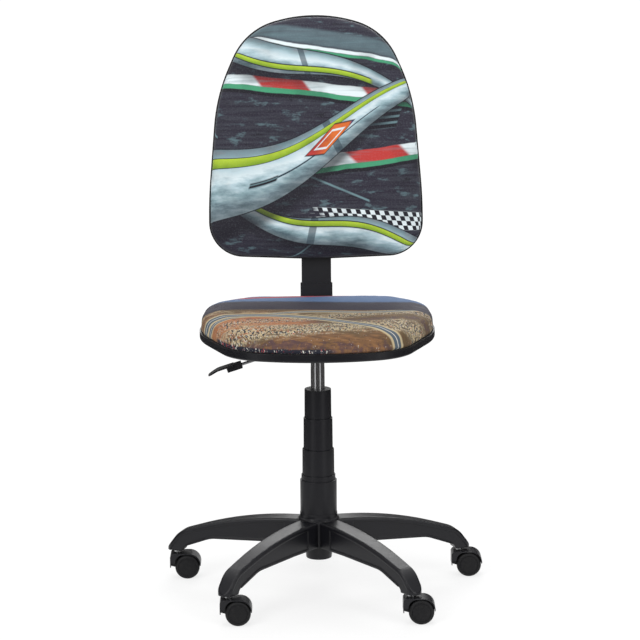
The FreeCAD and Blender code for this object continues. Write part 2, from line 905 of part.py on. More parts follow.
def make_lever_rod():
    piece = Piece("lever_rod")
    run_x = s.leverRodRun * cosine(s.leverDroop)
    run_z = s.leverRodRun * sine(s.leverDroop)
    path = piece.sketch("XZ")
    far = (-s.leverBendAt - run_x, lever_height - run_z)
    corner = (-s.leverBendAt, lever_height)
    reach = s.leverBendRadius * tangent(s.leverDroop / 2)
    first = (corner[0] + reach, corner[1])
    last = (corner[0] - reach * cosine(s.leverDroop), corner[1] - reach * sine(s.leverDroop))
    ends = ((s.leverInnerReach, corner[1]), first, last, far)
    points = [Vector(x.value, z.value, 0) for x, z in ends]
    inner = path.addGeometry(Part.LineSegment(points[0], points[1]), False)
    centre = points[1] - Vector(0, s.leverBendRadius.value, 0)
    bend_circle = Part.Circle(centre, Vector(0, 0, 1), s.leverBendRadius.value)
    quarter = math.pi / 2
    turn = math.radians(s.leverDroop.value)
    bend = path.addGeometry(Part.ArcOfCircle(bend_circle, quarter, quarter + turn), False)
    outer = path.addGeometry(Part.LineSegment(points[2], points[3]), False)
    path.addConstraint(Sketcher.Constraint("Tangent", inner, 2, bend, 1))
    path.addConstraint(Sketcher.Constraint("Tangent", bend, 2, outer, 1))
    place_point(path, inner, 1, s.leverInnerReach, corner[1])
    place_point(path, inner, 2, first[0], first[1])
    dimension(path, "Radius", bend, s.leverBendRadius)
    place_point(path, outer, 2, far[0], far[1])
    section = piece.sketch("YZ", s.leverInnerReach)
    circle(section, 0, lever_height, s.leverRodRadius)
    rod = piece.feature("AdditivePipe", section)
    rod.Spine = (path, [""])
    cross_bore = piece.sketch("XZ", 2 * s.leverRodRadius)
    circle(cross_bore, lever_pin_x, lever_height, s.leverPinRadius)
    piece.pocket(cross_bore, 4 * s.leverRodRadius)


def make_lever_pin():
    """Pin pressed across the rod, which rocks on it between the housing's two lugs."""
    piece = Piece("lever_pin")
    section = piece.sketch("XZ")
    circle(section, lever_pin_x, lever_height, s.leverPinRadius)
    piece.pad(section, 2 * (lug_inner + s.leverLugThickness + s.leverPinOverhang), symmetric=True)


def make_lever_handle():
    """Block that grips the rod, with a paddle that thins towards its tip; drawn level, then turned."""
    piece = Piece("lever_handle")
    block, tall = s.handleBlockLength, s.handleBlockHeight
    body = piece.sketch("XZ")
    outline(body, [(0, -tall / 2), (0, tall / 2), (-block, tall / 2), (-block, -tall / 2)])
    piece.pad(body, s.handleBlockWidth, symmetric=True)
    blade = piece.sketch("XZ")
    top = tall / 2
    outline(blade, [
        (-block / 2, top),
        (-s.handleLength * 0.7, top, s.handleLength / 2),
        (-s.handleLength, top - s.handleTipDrop),
        (-s.handleLength, top - s.handleTipDrop - s.handleTipThickness),
        (-s.handleLength * 0.7, top - s.handleThickness, s.handleLength / 2),
        (-block / 2, top - s.handleThickness),
    ])
    piece.pad(blade, s.handleWidth, symmetric=True)
    tip = -s.handleLength
    piece.fillet(s.handleWidth / 3, lambda e: near(mid(e).x, tip) and near(e.BoundBox.YLength, 0))
    bore = piece.sketch("YZ", s.overrun)
    circle(bore, 0, 0, s.leverRodRadius)
    piece.pocket(bore, s.leverRodRun - s.handleStart + s.overrun)
    along_x = s.leverBendAt + s.handleStart * cosine(s.leverDroop)
    along_z = lever_height - s.handleStart * sine(s.leverDroop)
    piece.place(x=-along_x, z=along_z, axis=Vector(0, -1, 0), angle=s.leverDroop)


# Gas lift

tube_top = s.hubTop + lift_rise * s.gasTubeTopShare
shoulder = s.gasTubeFoot + s.gasTubeTaper
column_bottom = tube_top - s.columnOverlap
bearing_bottom = s.gasTubeFoot + s.gasTubeFloor
bearing_top = bearing_bottom + 2 * (s.bearingWasher + s.bearingBall + s.runningClearance)


def make_gas_tube():
    wall = s.gasTubeWall
    turned("gas_tube", [
        (s.pistonRodRadius + wall, s.gasTubeFoot),
        (s.gasTubeFootRadius, s.gasTubeFoot),
        (s.gasTubeRadius, shoulder),
        (s.gasTubeRadius, tube_top),
        (s.gasTubeRadius - wall, tube_top),
        (s.gasTubeRadius - wall, shoulder),
        (s.gasTubeFootRadius - wall, bearing_bottom),
        (s.pistonRodRadius + wall, bearing_bottom),
    ])


def make_bushing():
    """Plastic guide that holds the column in the tube's mouth."""
    bore = s.columnRadius + s.runningClearance
    turned("gas_tube_bushing", [
        (bore, tube_top - s.bushingLength),
        (s.gasTubeRadius - s.gasTubeWall, tube_top - s.bushingLength),
        (s.gasTubeRadius - s.gasTubeWall, tube_top),
        (s.gasTubeRadius, tube_top),
        (s.gasTubeRadius, tube_top + s.bushingCap),
        (bore, tube_top + s.bushingCap),
    ])


def make_bearing():
    """Two washers with a caged ring of balls between them."""
    piece = Piece("thrust_bearing")
    inner, outer = s.pistonRodRadius + s.gasTubeWall, s.bearingRadius
    middle = (inner + outer) / 2
    centre = (bearing_bottom + bearing_top) / 2
    cage = piece.sketch("XZ")
    rectangle(cage, inner, centre - s.bearingCage / 2, outer, centre + s.bearingCage / 2)
    piece.revolve(cage)
    ball = piece.sketch("XZ")
    x, z, r = middle.value, centre.value, s.bearingBall.value
    disc = Part.Circle(Vector(x, z, 0), Vector(0, 0, 1), r)
    arc = ball.addGeometry(Part.ArcOfCircle(disc, -math.pi / 2, math.pi / 2), False)
    chord = ball.addGeometry(Part.LineSegment(Vector(x, z + r, 0), Vector(x, z - r, 0)), False)
    ball.addConstraint(Sketcher.Constraint("Coincident", arc, 2, chord, 1))
    ball.addConstraint(Sketcher.Constraint("Coincident", arc, 1, chord, 2))
    ball.addConstraint(Sketcher.Constraint("PointOnObject", arc, 3, chord))
    ball.addConstraint(Sketcher.Constraint("Vertical", chord))
    place_point(ball, arc, 3, middle, centre)
    dimension(ball, "Radius", arc, s.bearingBall)
    first = piece.feature("Revolution", ball, ReferenceAxis=(ball, [f"Edge{chord + 1}"]), Angle=360)
    piece.polar([first], s.bearingBalls)
    for low in (bearing_bottom, bearing_top - s.bearingWasher):
        washer = piece.sketch("XZ")
        rectangle(washer, inner, low, outer, low + s.bearingWasher)
        piece.revolve(washer)


def make_piston_rod():
    """Rod that stands on the bearing, with its piston inside the column and a foot that holds the clip."""
    rod, low = s.pistonRodRadius, s.gasTubeFoot - s.rodFootLength
    piston = column_bottom + s.columnGland + s.coverGap
    turned("piston_rod", [
        (0, low),
        (rod, low),
        (rod, bearing_top),
        (s.rodShoulderRadius, bearing_top),
        (s.rodShoulderRadius, bearing_top + s.rodShoulderHeight),
        (rod, bearing_top + s.rodShoulderHeight),
        (rod, piston),
        (s.pistonRadius, piston),
        (s.pistonRadius, piston + s.pistonHeight),
        (0, piston + s.pistonHeight),
    ])


def make_clip():
    top = s.gasTubeFoot - s.runningClearance
    turned("rod_clip", [
        (s.pistonRodRadius, top - s.clipThickness),
        (s.clipRadius, top - s.clipThickness),
        (s.clipRadius, top),
        (s.pistonRodRadius, top),
    ])


def make_bumper():
    low = bearing_top + s.rodShoulderHeight
    turned("lift_bumper", [
        (s.pistonRodRadius, low),
        (s.bumperRadius, low),
        (s.bumperRadius, low + s.bumperHeight, s.knobEdge),
        (s.pistonRodRadius, low + s.bumperHeight),
    ])


def make_column():
    """Pressure tube: gland at its foot, chamber for the piston, taper and valve bore at its head."""
    gland_top = column_bottom + s.columnGland
    chamber_top = column_top - s.columnHead
    button_bottom = column_top + s.buttonProud - s.buttonLength
    piece = turned("gas_column", [
        (s.pistonRodRadius + s.runningClearance, column_bottom),
        (s.columnRadius, column_bottom),
        (s.columnRadius, column_top - s.columnTaper),
        (s.columnTopRadius, column_top),
        (s.buttonRadius + s.runningClearance, column_top),
        (s.buttonRadius + s.runningClearance, button_bottom - s.buttonRoom),
        (0, button_bottom - s.buttonRoom),
        (0, chamber_top),
        (s.columnBore, chamber_top),
        (s.columnBore, gland_top),
        (s.pistonRodRadius + s.runningClearance, gland_top),
    ])
    return piece


def make_button():
    top = column_top + s.buttonProud
    turned("valve_button", [
        (0, top - s.buttonLength),
        (s.buttonRadius, top - s.buttonLength),
        (s.buttonRadius, top - s.buttonProud / 2),
        (s.buttonTipRadius, top - s.buttonProud / 4),
        (s.buttonTipRadius / 2, top),
        (0, top),
    ])


# Telescopic cover round the lift

cover_foot_top = s.hubTop + lift_rise * s.coverFootShare
cover_lower_top = s.hubTop + lift_rise * s.coverLowerTopShare
cover_middle_top = s.hubTop + lift_rise * s.coverMiddleTopShare
cover_upper_top = s.hubTop + lift_rise * s.coverUpperTopShare


def make_cover_foot():
    """Lowest section: stands on the hub, with a narrower collar that guides the next one."""
    low = s.hubTop
    body_top, top = cover_foot_top, cover_foot_top + s.coverCollarHeight
    collar_bore = s.coverLowerRadius + s.coverFlare + s.coverBead + s.coverGap
    body_bore = s.coverFootRadius - 1.6 * s.coverWall
    turned("cover_foot", [
        (body_bore, low),
        (s.coverFootRadius, low),
        (s.coverFootRadius, body_top, s.coverEdge),
        (s.coverCollarRadius, body_top + s.coverEdge),
        (s.coverCollarRadius, top, s.coverEdge),
        (collar_bore, top),
        (collar_bore, body_top - s.coverWall),
        (body_bore, body_top - s.coverWall),
    ])


def make_cover_section(label, radius, top, low, lid=False):
    """A moving section, flared slightly to its foot, where a bead keeps it inside the section below."""
    foot, bore = radius + s.coverFlare, radius - s.coverWall
    mouth = [(bore, top)]
    if lid:
        hole = s.columnRadius + s.coverBead
        mouth = [(hole, top), (hole, top - s.coverWall), (bore, top - s.coverWall)]
    turned(label, [
        (bore, low),
        (foot + s.coverBead, low),
        (foot + s.coverBead, low + s.coverBeadHeight),
        (foot, low + s.coverBeadHeight),
        (radius, top, s.coverEdge),
    ] + mouth)


def make_covers():
    make_cover_foot()
    low = cover_foot_top - s.coverLowerOverlap
    make_cover_section("cover_lower", s.coverLowerRadius, cover_lower_top, low)
    low = cover_lower_top - s.coverMiddleOverlap
    make_cover_section("cover_middle", s.coverMiddleRadius, cover_middle_top, low)
    low = cover_middle_top - s.coverUpperOverlap
    make_cover_section("cover_upper", s.coverUpperRadius, cover_upper_top, low, lid=True)


# Star base

rise = s.legTop - s.legTip
back_radius = s.legBackCurve * leg_reach * leg_reach / rise
knee_radius = s.legKneeShare * leg_reach


def top_line(drop):
    """The leg's back from the hub to its knee and toe, let down by the drop: (reach, height, rounding)."""
    return [
        (0, s.legTop - drop),
        (leg_reach * 0.495, s.legTop - rise * 0.06 - drop, back_radius),
        (leg_reach * 0.915 - drop * 0.6, s.legTip + rise * 0.46 - drop * 0.8, knee_radius - drop),
        (leg_reach - drop, s.legTip + rise * 0.05),
    ]


def under_line(lift):
    """The leg's underside from the toe back to the hub, raised by the lift."""
    heel = leg_reach - s.legTipLength
    return [
        (heel - lift, s.legTip),
        (heel - lift - rise * 0.04, s.legTip + rise * 0.10 + lift, s.legHeelRadius),
        (leg_reach * 0.70, s.legTip + rise * 0.352 + lift, s.legInstepRadius),
        (leg_reach * 0.34, s.legTip + rise * 0.395 + lift),
        (0, s.legTip + rise * 0.395 + lift),
    ]


def half_width(reach):
    """Half the leg's width at a reach from the hub's axis."""
    return s.legHubWidth / 2 - (s.legHubWidth - s.legTipWidth) / 2 * reach / leg_reach


def extruded(label, plane_rotation, loops, length, symmetric=False, base=0):
    """A Part extrusion of a free sketch."""
    sketch = doc.addObject("Sketcher::SketchObject", label + "Sketch")
    sketch.Placement = Placement(Vector(), plane_rotation)
    bind(sketch, "Placement.Base.z", base)
    for loop in loops:
        outline(sketch, loop)
    block = doc.addObject("Part::Extrusion", label)
    block.Base = sketch
    block.DirMode = "Normal"
    block.Solid = True
    block.Symmetric = symmetric
    bind(block, "LengthFwd", length)
    return block


def make_leg():
    """One leg along +Y: side view and plan crossed, edges rounded, sides recessed, hollow with ribs."""
    side_on = Rotation(Vector(1, 1, 1), 120)
    flat = Rotation()
    wide = 2 * s.legHubWidth
    tall = s.legTop + s.overrun
    whole = top_line(0) + [(leg_reach, s.legTip)] + under_line(0)
    side = extruded("LegSide", side_on, [whole], wide, symmetric=True)
    plan = extruded("LegPlan", flat, [mirrored([
        (half_width(0), 0),
        (half_width(leg_reach), leg_reach, s.legTipRound),
    ])], tall)
    solid = doc.addObject("Part::MultiCommon", "LegSolid")
    solid.Shapes = [side, plan]
    doc.recompute()
    rounded = doc.addObject("Part::Fillet", "LegRounded")
    rounded.Base = solid
    radius = s.legTopEdge.value
    rounded.Edges = [(i, radius, radius) for i in leg_top_edges(solid.Shape)]
    panel = extruded("LegPanelSide", side_on, [
        top_line(s.legLip) + [(leg_reach - s.legLip, s.legTip)] + under_line(s.legSole)
    ], wide, symmetric=True)
    start, end = s.legPanelStart, leg_reach - s.legRecess
    core = extruded("LegPanelCore", flat, [mirrored([
        (s.legHubWidth, 0),
        (s.legHubWidth, start),
        (half_width(start) - s.legRecess, start),
        (half_width(end) - s.legRecess, end, s.legTipRound - s.legRecess),
    ])], tall)
    recess = doc.addObject("Part::Cut", "LegRecess")
    recess.Base, recess.Tool = panel, core
    hollow_side = extruded("LegHollowSide", side_on, [
        top_line(s.legCeiling) + [(leg_reach - s.legCeiling, 0), (0, 0)]
    ], wide, symmetric=True)
    cells = extruded("LegCells", flat, leg_cells(), tall)
    hollow = doc.addObject("Part::MultiCommon", "LegHollow")
    hollow.Shapes = [hollow_side, cells]
    panelled = doc.addObject("Part::Cut", "LegPanelled")
    panelled.Base, panelled.Tool = rounded, recess
    leg = doc.addObject("Part::Cut", "Leg")
    leg.Base, leg.Tool = panelled, hollow
    return leg


def leg_top_edges(shape):
    """Numbers of the edges between the leg's upper faces and its sides."""
    upper = []
    for face in shape.Faces:
        u0, u1, v0, v1 = face.ParameterRange
        if face.normalAt((u0 + u1) / 2, (v0 + v1) / 2).z > 0.15:
            upper.append(face)
    numbers = []
    for number, edge in enumerate(shape.Edges, start=1):
        shared = sum(any(edge.isSame(other) for other in face.Edges) for face in upper)
        at_hub = near(edge.BoundBox.YMax, 0)
        if shared == 1 and not at_hub and mid(edge).z > s.legTip.value:
            numbers.append(number)
    return numbers


def leg_cells():
    """Plan of the hollows under a leg, narrowing with it, with a rib between each two."""
    count = 5
    start, end = s.legCellStart, s.stemCircle - s.legCellGap
    pitch = (end - start) / count
    loops = []
    for k in range(count):
        near_end = start + pitch * k + s.legRib / 2
        far_end = start + pitch * (k + 1) - s.legRib / 2
        halves = [half_width(y) - s.legWall - s.legRecess for y in (near_end, far_end)]
        loops.append([
            (-halves[0], near_end),
            (halves[0], near_end),
            (halves[1], far_end),
            (-halves[1], far_end),
        ])
    return loops


def make_star_base():
    leg = make_leg()
    doc.recompute()
    piece = Piece("star_base")
    piece.body.BaseFeature = leg
    doc.recompute()
    piece.polar([], 5)
    hub = piece.sketch("XZ")
    outline(hub, [
        (0, s.hubFoot),
        (s.hubBossRadius, s.hubFoot, s.knobEdge),
        (s.hubBossRadius + s.knobEdge, s.hubSkirt),
        (s.hubNeck, s.hubSkirt),
        (s.hubNeck, s.legTop + s.hubLip),
        (s.hubRadius, s.legTop + s.hubNeck - s.hubRadius),
        (s.hubRadius, s.hubTop),
        (0, s.hubTop),
    ])
    piece.revolve(hub)
    bore = piece.sketch("XZ")
    slope = (s.gasTubeRadius - s.gasTubeFootRadius) / s.gasTubeTaper
    below = s.gasTubeFootRadius - slope * (s.gasTubeFoot - s.hubFoot + s.overrun)
    outline(bore, [
        (0, s.hubFoot - s.overrun),
        (below, s.hubFoot - s.overrun),
        (s.gasTubeRadius, shoulder),
        (s.gasTubeRadius, s.hubTop + s.overrun),
        (0, s.hubTop + s.overrun),
    ])
    piece.groove(bore)
    socket = piece.sketch("XY", s.legTip - s.overrun)
    circle(socket, 0, s.stemCircle, s.stemRadius)
    hole = piece.pocket(socket, s.stemLength + s.overrun, reverse=True)
    piece.polar([hole], 5)


def make_stems():
    """Steel stems pressed into the toes: grip, collar, and the journal that the caster swivels on."""
    piece = Piece("caster_stems")
    for low, radius, length in (
        (s.legTip - s.stemCollarHeight, s.stemCollarRadius, s.stemCollarHeight),
        (s.legTip, s.stemRadius, s.stemLength),
        (s.legTip - s.stemCollarHeight - s.stemJournalLength, s.stemJournalRadius, s.stemJournalLength),
    ):
        section = piece.sketch("XY", low)
        circle(section, 0, s.stemCircle, radius)
        piece.pad(section, length)
    piece.polar([], 5)


# Casters: drawn round the stem's axis, with the wheels trailing along +X

wheel_x, wheel_z = s.casterTrail, s.wheelRadius
hood_inner = s.wheelRadius + s.hoodClearance
hood_outer = hood_inner + s.hoodWall


def caster_place(number):
    """Where caster number 0 to 4 stands: the stem's axis, from the rear leg round."""
    angle = 72 * number
    return -s.stemCircle * sine(angle), s.stemCircle * cosine(angle)


def make_hood(label, x, y):
    """Moulded body between and over the wheels."""
    piece = Piece(label)
    top, back, front = wheel_z + hood_outer, wheel_x + hood_outer, wheel_x - s.hoodFront
    low = wheel_z - s.hoodDrop
    half = s.hoodWidth / 2
    block = piece.sketch("XZ")
    outline(block, [
        (front, low),
        (wheel_x - s.axleHubDrop, wheel_z - s.axleHubDrop, s.axleHubDrop),
        (wheel_x + s.axleHubDrop, wheel_z - s.axleHubDrop, s.axleHubDrop),
        (back, wheel_z + s.axleRadius),
        (back, top, hood_outer * 0.86),
        (front, top, s.hoodFrontRound),
    ])
    piece.pad(block, s.hoodWidth, symmetric=True)
    piece.fillet(s.hoodEdge, lambda e: near(abs(mid(e).y), half) and near(e.BoundBox.YLength, 0)
                 and (mid(e).z > wheel_z.value or near(mid(e).x, front)))
    inside_back, inside_front, inside_top = wheel_x + hood_inner, wheel_x - hood_inner, wheel_z + hood_inner
    for side in (-1, 1):
        room = piece.sketch("XZ", -side * s.webWidth / 2)
        outline(room, [
            (inside_back, low - s.axleHubDrop),
            (inside_back, inside_top, hood_inner * 0.86),
            (inside_front, inside_top, hood_inner * 0.66),
            (inside_front, wheel_z + s.hoodFrontRound),
            (front + s.hoodWall, wheel_z + s.hoodFrontRound),
            (front + s.hoodWall, low - s.axleHubDrop),
        ])
        piece.pocket(room, half, reverse=side < 0)
    stem_bore = piece.sketch("XY", top + s.overrun)
    circle(stem_bore, 0, 0, s.stemJournalRadius + s.runningClearance)
    piece.pocket(stem_bore, s.stemJournalLength + s.overrun + s.hoodClearance)
    axle_bore = piece.sketch("XZ", s.webWidth)
    circle(axle_bore, wheel_x, wheel_z, s.axleRadius)
    piece.pocket(axle_bore, 2 * s.webWidth)
    piece.place(x, y)


def make_axle(label, x, y):
    piece = Piece(label)
    section = piece.sketch("XZ")
    circle(section, 0, 0, s.axleRadius)
    piece.pad(section, s.webWidth + 2 * s.wheelGap + 2 * (s.wheelBoreDepth - s.wheelGap), symmetric=True)
    piece.place(x + wheel_x, y, wheel_z)


def make_wheel(label, x, y, side):
    """Nylon wheel with a rounded tread and a domed cap over the axle's end, for the side at -Y or +Y."""
    piece = Piece(label)
    width, radius = s.wheelWidth, s.wheelRadius
    cap, groove = s.wheelCapRadius, s.wheelCapGroove
    section = piece.sketch("YZ")
    outline(section, [
        (0, s.axleRadius + s.runningClearance),
        (0, radius, s.wheelTreadRound / 2),
        (width, radius, s.wheelTreadRound),
        (width, cap + groove),
        (width - groove, cap + groove / 2),
        (width, cap),
        (width + s.wheelDome, cap * 0.45, cap),
        (width + s.wheelDome, 0),
        (s.wheelBoreDepth + s.wheelGap, 0),
        (s.wheelBoreDepth + s.wheelGap, s.axleRadius + s.runningClearance),
    ])
    piece.revolve(section, "H_Axis")
    offset = side * (s.webWidth / 2 + s.wheelGap)
    turn = 0 if side > 0 else 180
    piece.place(x + wheel_x, y + offset, wheel_z, axis=Vector(0, 0, 1), angle=turn)


def make_caster(number):
    x, y = caster_place(number)
    name = f"caster_{number + 1}"
    make_hood(name + "_hood", x, y)
    make_axle(name + "_axle", x, y)
    make_wheel(name + "_wheel_front", x, y, -1)
    make_wheel(name + "_wheel_rear", x, y, 1)


# Back bar: pivots on the tilt pin, runs rearwards under the seat, bends up and leans back

lean = s.barLean


def upright_y(offset, height):
    """Y of a line parallel to the leaning upright, the offset behind it, at a height."""
    return s.barUpright + offset / cosine(lean) + (height - bar_datum) * tangent(lean)


def upright_point(offset, along):
    """A point of the YZ plane in the upright's own frame: offset behind it, along it from the datum."""
    return (
        s.barUpright + offset * cosine(lean) + along * sine(lean),
        bar_datum - offset * sine(lean) + along * cosine(lean),
    )


def elbow(start, below, above, behind, before, bend, end):
    """Closed side view of a bent strip: a level run from the start, a bend, and the upright to its end."""
    low, high = bar_height - below, bar_height + above
    return [
        (start, low),
        (upright_y(behind, low), low, bend + below + above),
        upright_point(behind, end),
        upright_point(-before, end),
        (upright_y(-before, high), high, bend),
        (start, high),
    ]


def make_back_bar():
    piece = Piece("back_bar")
    strip = piece.sketch("YZ")
    front = s.tiltPivotY - s.barFront
    outline(strip, elbow(front, bar_half, bar_half, bar_half, bar_half, s.barBend, s.barRise))
    piece.pad(strip, s.barWidth, symmetric=True)
    barrel = piece.sketch("YZ")
    circle(barrel, s.tiltPivotY, tilt_height, s.tiltBarrelRadius)
    piece.pad(barrel, s.tiltBarrelWidth, symmetric=True)
    bore = piece.sketch("YZ", s.tiltBarrelWidth)
    circle(bore, s.tiltPivotY, tilt_height, s.tiltPinRadius + s.runningClearance)
    piece.pocket(bore, 2 * s.tiltBarrelWidth)


def make_elbow_cover():
    """Moulded cover over the bend, open at both ends, with a seam down its front."""
    piece = Piece("elbow_cover")
    half, wall = s.elbowDepth / 2, s.elbowWall
    shell = piece.sketch("YZ")
    outline(shell, elbow(s.elbowStart, s.elbowLow, s.elbowLow, half, half, s.elbowBend, s.elbowTop))
    piece.pad(shell, s.elbowWidth, symmetric=True)
    side = s.elbowWidth / 2
    piece.fillet(s.coverWall, lambda e: near(abs(mid(e).x), side) and near(e.BoundBox.XLength, 0)
                 and mid(e).y > s.elbowStart.value + 1)
    inner = half - wall
    room = piece.sketch("YZ")
    clear = bar_half + s.slideClearance
    bend, end = s.barBend - s.slideClearance, s.elbowTop + s.overrun
    outline(room, elbow(s.elbowStart - s.overrun, clear, clear, inner, inner, bend, end))
    piece.pocket(room, s.elbowWidth - 2 * wall, symmetric=True)
    seam = piece.sketch("XZ", -upright_y(-half, bar_datum + s.elbowTop))
    low, high = bar_datum - s.elbowLow, bar_datum + s.elbowTop + s.overrun
    rectangle(seam, -s.elbowSeam / 2, low, s.elbowSeam / 2, high)
    piece.pocket(seam, s.elbowDepth / 2)


def make_sleeve():
    """Cover that comes down from the backrest and slides inside the elbow cover."""
    piece = in_back_frame("sleeve_cover")
    tube = piece.sketch("XY", s.sleeveBottom)
    side, deep, wall = s.sleeveWidth / 2, s.sleeveDepth / 2, s.sleeveWall
    rectangle(tube, -side, -deep, side, deep, s.coverWall)
    rectangle(tube, wall - side, wall - deep, side - wall, deep - wall)
    piece.pad(tube, s.sleeveTop - s.sleeveBottom)


# Backrest: drawn with the upright bar on the Z axis, front at -Y, then leaned back with the bar

def in_back_frame(label):
    return Piece(label).place(0, s.barUpright, bar_datum, axis=Vector(-1, 0, 0), angle=lean)


shell_back = s.backFace - s.backShellDepth
screw_shares = [(0.62, 0.16), (0.56, 0.80)]
screw_places = [
    (side * s.backWidth / 2 * across, s.backBottom + s.backHeight * up)
    for across, up in screw_shares for side in (-1, 1)
]


def make_back_shell():
    """Moulded rear cover: a dish with a spine for the bar, grooves beside it and pillars for its screws."""
    piece = in_back_frame("back_shell")
    wall = s.backShellWall
    dish = piece.sketch("XZ", s.backFace)
    outline(dish, back_outline(0))
    piece.pad(dish, s.backShellDepth, reverse=True)
    piece.fillet(s.backShellEdge, lambda e: near(mid(e).y, -shell_back) and near(e.BoundBox.YLength, 0))
    spine = piece.sketch("XZ", shell_back + wall)
    half = s.spineWidth / 2
    outline(spine, mirrored([
        (half, s.backBottom),
        (half * 0.86, spine_top, s.spineCorner),
    ]))
    piece.pad(spine, s.spineBack + shell_back + wall, reverse=True)
    piece.fillet(s.spineEdge, lambda e: near(mid(e).y, s.spineBack) and near(e.BoundBox.YLength, 0))
    inside = piece.sketch("XZ", s.backFace + s.overrun)
    outline(inside, back_outline(wall))
    piece.pocket(inside, s.backShellDepth - wall + s.overrun)
    spine_room = piece.sketch("XZ", s.backFace)
    outline(spine_room, mirrored([
        (half - wall, s.backBottom + wall),
        (half * 0.86 - wall, spine_top - wall, s.spineCorner - wall),
    ]))
    piece.pocket(spine_room, s.backFace + s.spineBack - wall)
    slot = piece.sketch("XY", s.backBottom + s.backShellEdge)
    side, deep = s.sleeveWidth / 2 + s.spineSlotGap, s.sleeveDepth / 2 + s.spineSlotGap
    rectangle(slot, -side, -deep, side, deep)
    piece.pocket(slot, s.backShellEdge + 2 * s.overrun)
    pillars = piece.sketch("XZ", shell_back + wall / 2)
    holes = piece.sketch("XZ", s.backFace)
    for x, z in screw_places:
        circle(pillars, x, z, s.backPillarRadius)
        circle(holes, x, z, s.backScrewRadius)
    piece.pad(pillars, s.backShellDepth - s.backBoardThickness - wall / 2)
    piece.pocket(holes, s.backShellDepth + s.overrun)
    knob_hole = piece.sketch("XZ", 0)
    circle(knob_hole, 0, s.knobHeight, s.knobHoleRadius)
    piece.pocket(knob_hole, s.spineBack + s.overrun)
    grooves = piece.sketch("XZ", shell_back)
    for k in range(int(s.backGrooveCount.value)):
        left = half + s.backGroovePitch * (k + 0.7)
        low = s.backBottom + s.backHeight * (0.16 + 0.04 * k)
        high = s.backBottom + s.backHeight * (0.62 - 0.05 * k)
        for side in (-1, 1):
            x0, x1 = side * left, side * (left + s.backGrooveWidth)
            outline(grooves, [(x0, low), (x1, low), (x1, high), (x0, high)])
    piece.pocket(grooves, s.backGrooveDepth, reverse=True)


def make_back_board():
    piece = in_back_frame("back_board")
    board = piece.sketch("XZ", s.backFace)
    outline(board, back_outline(s.backBoardInset))
    for x, z in screw_places:
        circle(board, x, z, s.backScrewRadius)
    piece.pad(board, s.backBoardThickness, reverse=True)


def make_back_cushion():
    piece = in_back_frame("back_cushion")
    sections = []
    for height, inset in cushion_levels(
        s.backCushionEdge, s.backCushionThickness, s.backCushionTuck, back_crown,
    ):
        section = piece.sketch("XZ", s.backFace + height)
        outline(section, back_outline(inset))
        sections.append(section)
    piece.loft(sections)


def make_guide_block():
    """Guide on the board's rear that the bar slides through; the knob's screw clamps the bar in it."""
    piece = in_back_frame("bar_guide")
    board_rear = s.backFace - s.backBoardThickness
    block = piece.sketch("XZ", board_rear)
    rectangle(block, -s.guideWidth / 2, s.guideBottom, s.guideWidth / 2, s.guideTop, s.knobEdge)
    piece.pad(block, board_rear + s.guideBack, reverse=True)
    channel = piece.sketch("XY", s.guideBottom - s.overrun)
    side, deep = s.barWidth / 2 + s.slideClearance, bar_half + s.slideClearance
    rectangle(channel, -side, -deep, side, deep)
    piece.pocket(channel, s.guideTop - s.guideBottom + 2 * s.overrun, reverse=True)
    bore = piece.sketch("XZ", 0)
    circle(bore, 0, s.knobHeight, s.knobScrewRadius + s.runningClearance)
    piece.pocket(bore, s.guideBack + s.overrun)


def make_back_screws():
    piece = in_back_frame("back_screws")
    heads = piece.sketch("XZ", shell_back)
    shanks = piece.sketch("XZ", shell_back)
    for x, z in screw_places:
        circle(heads, x, z, s.backScrewHead)
        circle(shanks, x, z, s.backScrewRadius)
    piece.pad(heads, s.backScrewHeadHeight, reverse=True)
    piece.pad(shanks, s.backScrewLength)


knob_front = s.spineBack + s.knobStandoff


def make_back_knob():
    """Lobed hand wheel behind the backrest."""
    piece = in_back_frame("back_knob")
    disc = piece.sketch("XZ", -knob_front)
    circle(disc, 0, s.knobHeight, s.knobRadius)
    piece.pad(disc, s.knobDepth, reverse=True)
    piece.fillet(s.knobEdge, lambda e: near(mid(e).y, knob_front + s.knobDepth))
    flutes = piece.sketch("XZ", -knob_front)
    for k in range(int(s.knobLobes.value)):
        angle = 360 * (k + 0.5) / s.knobLobes.value
        reach = s.knobRadius + s.knobLobeRadius / 2
        circle(flutes, reach * sine(angle), s.knobHeight + reach * cosine(angle), s.knobLobeRadius)
    piece.pocket(flutes, s.knobDepth + s.overrun)
    bore = piece.sketch("XZ", -knob_front)
    circle(bore, 0, s.knobHeight, s.knobScrewRadius)
    piece.pocket(bore, s.knobDepth * 0.6)


def make_knob_screw():
    piece = in_back_frame("knob_screw")
    tip = bar_half + s.slideClearance / 2
    section = piece.sketch("XZ", -tip)
    circle(section, 0, s.knobHeight, s.knobScrewRadius)
    piece.pad(section, knob_front + s.knobDepth * 0.6 - tip, reverse=True)


def main():
    make_star_base()
    make_stems()
    for number in range(5):
        make_caster(number)
    make_gas_tube()
    make_bushing()
    make_bearing()
    make_piston_rod()
    make_clip()
    make_bumper()
    make_column()
    make_button()
    make_covers()
    make_housing()
    make_socket()
    make_tilt_pin()
    make_spring()
    make_spring_seat()
    make_tension_screw()
    make_tension_knob()
    make_lever_rod()
    make_lever_pin()
    make_lever_handle()
    make_seat_shell()
    make_seat_board()
    make_seat_cushion()
    make_tee_nuts()
    make_seat_bolts()
    make_back_bar()
    make_elbow_cover()
    make_sleeve()
    make_back_shell()
    make_back_board()
    make_back_cushion()
    make_guide_block()
    make_back_screws()
    make_back_knob()
    make_knob_screw()
    doc.recompute()


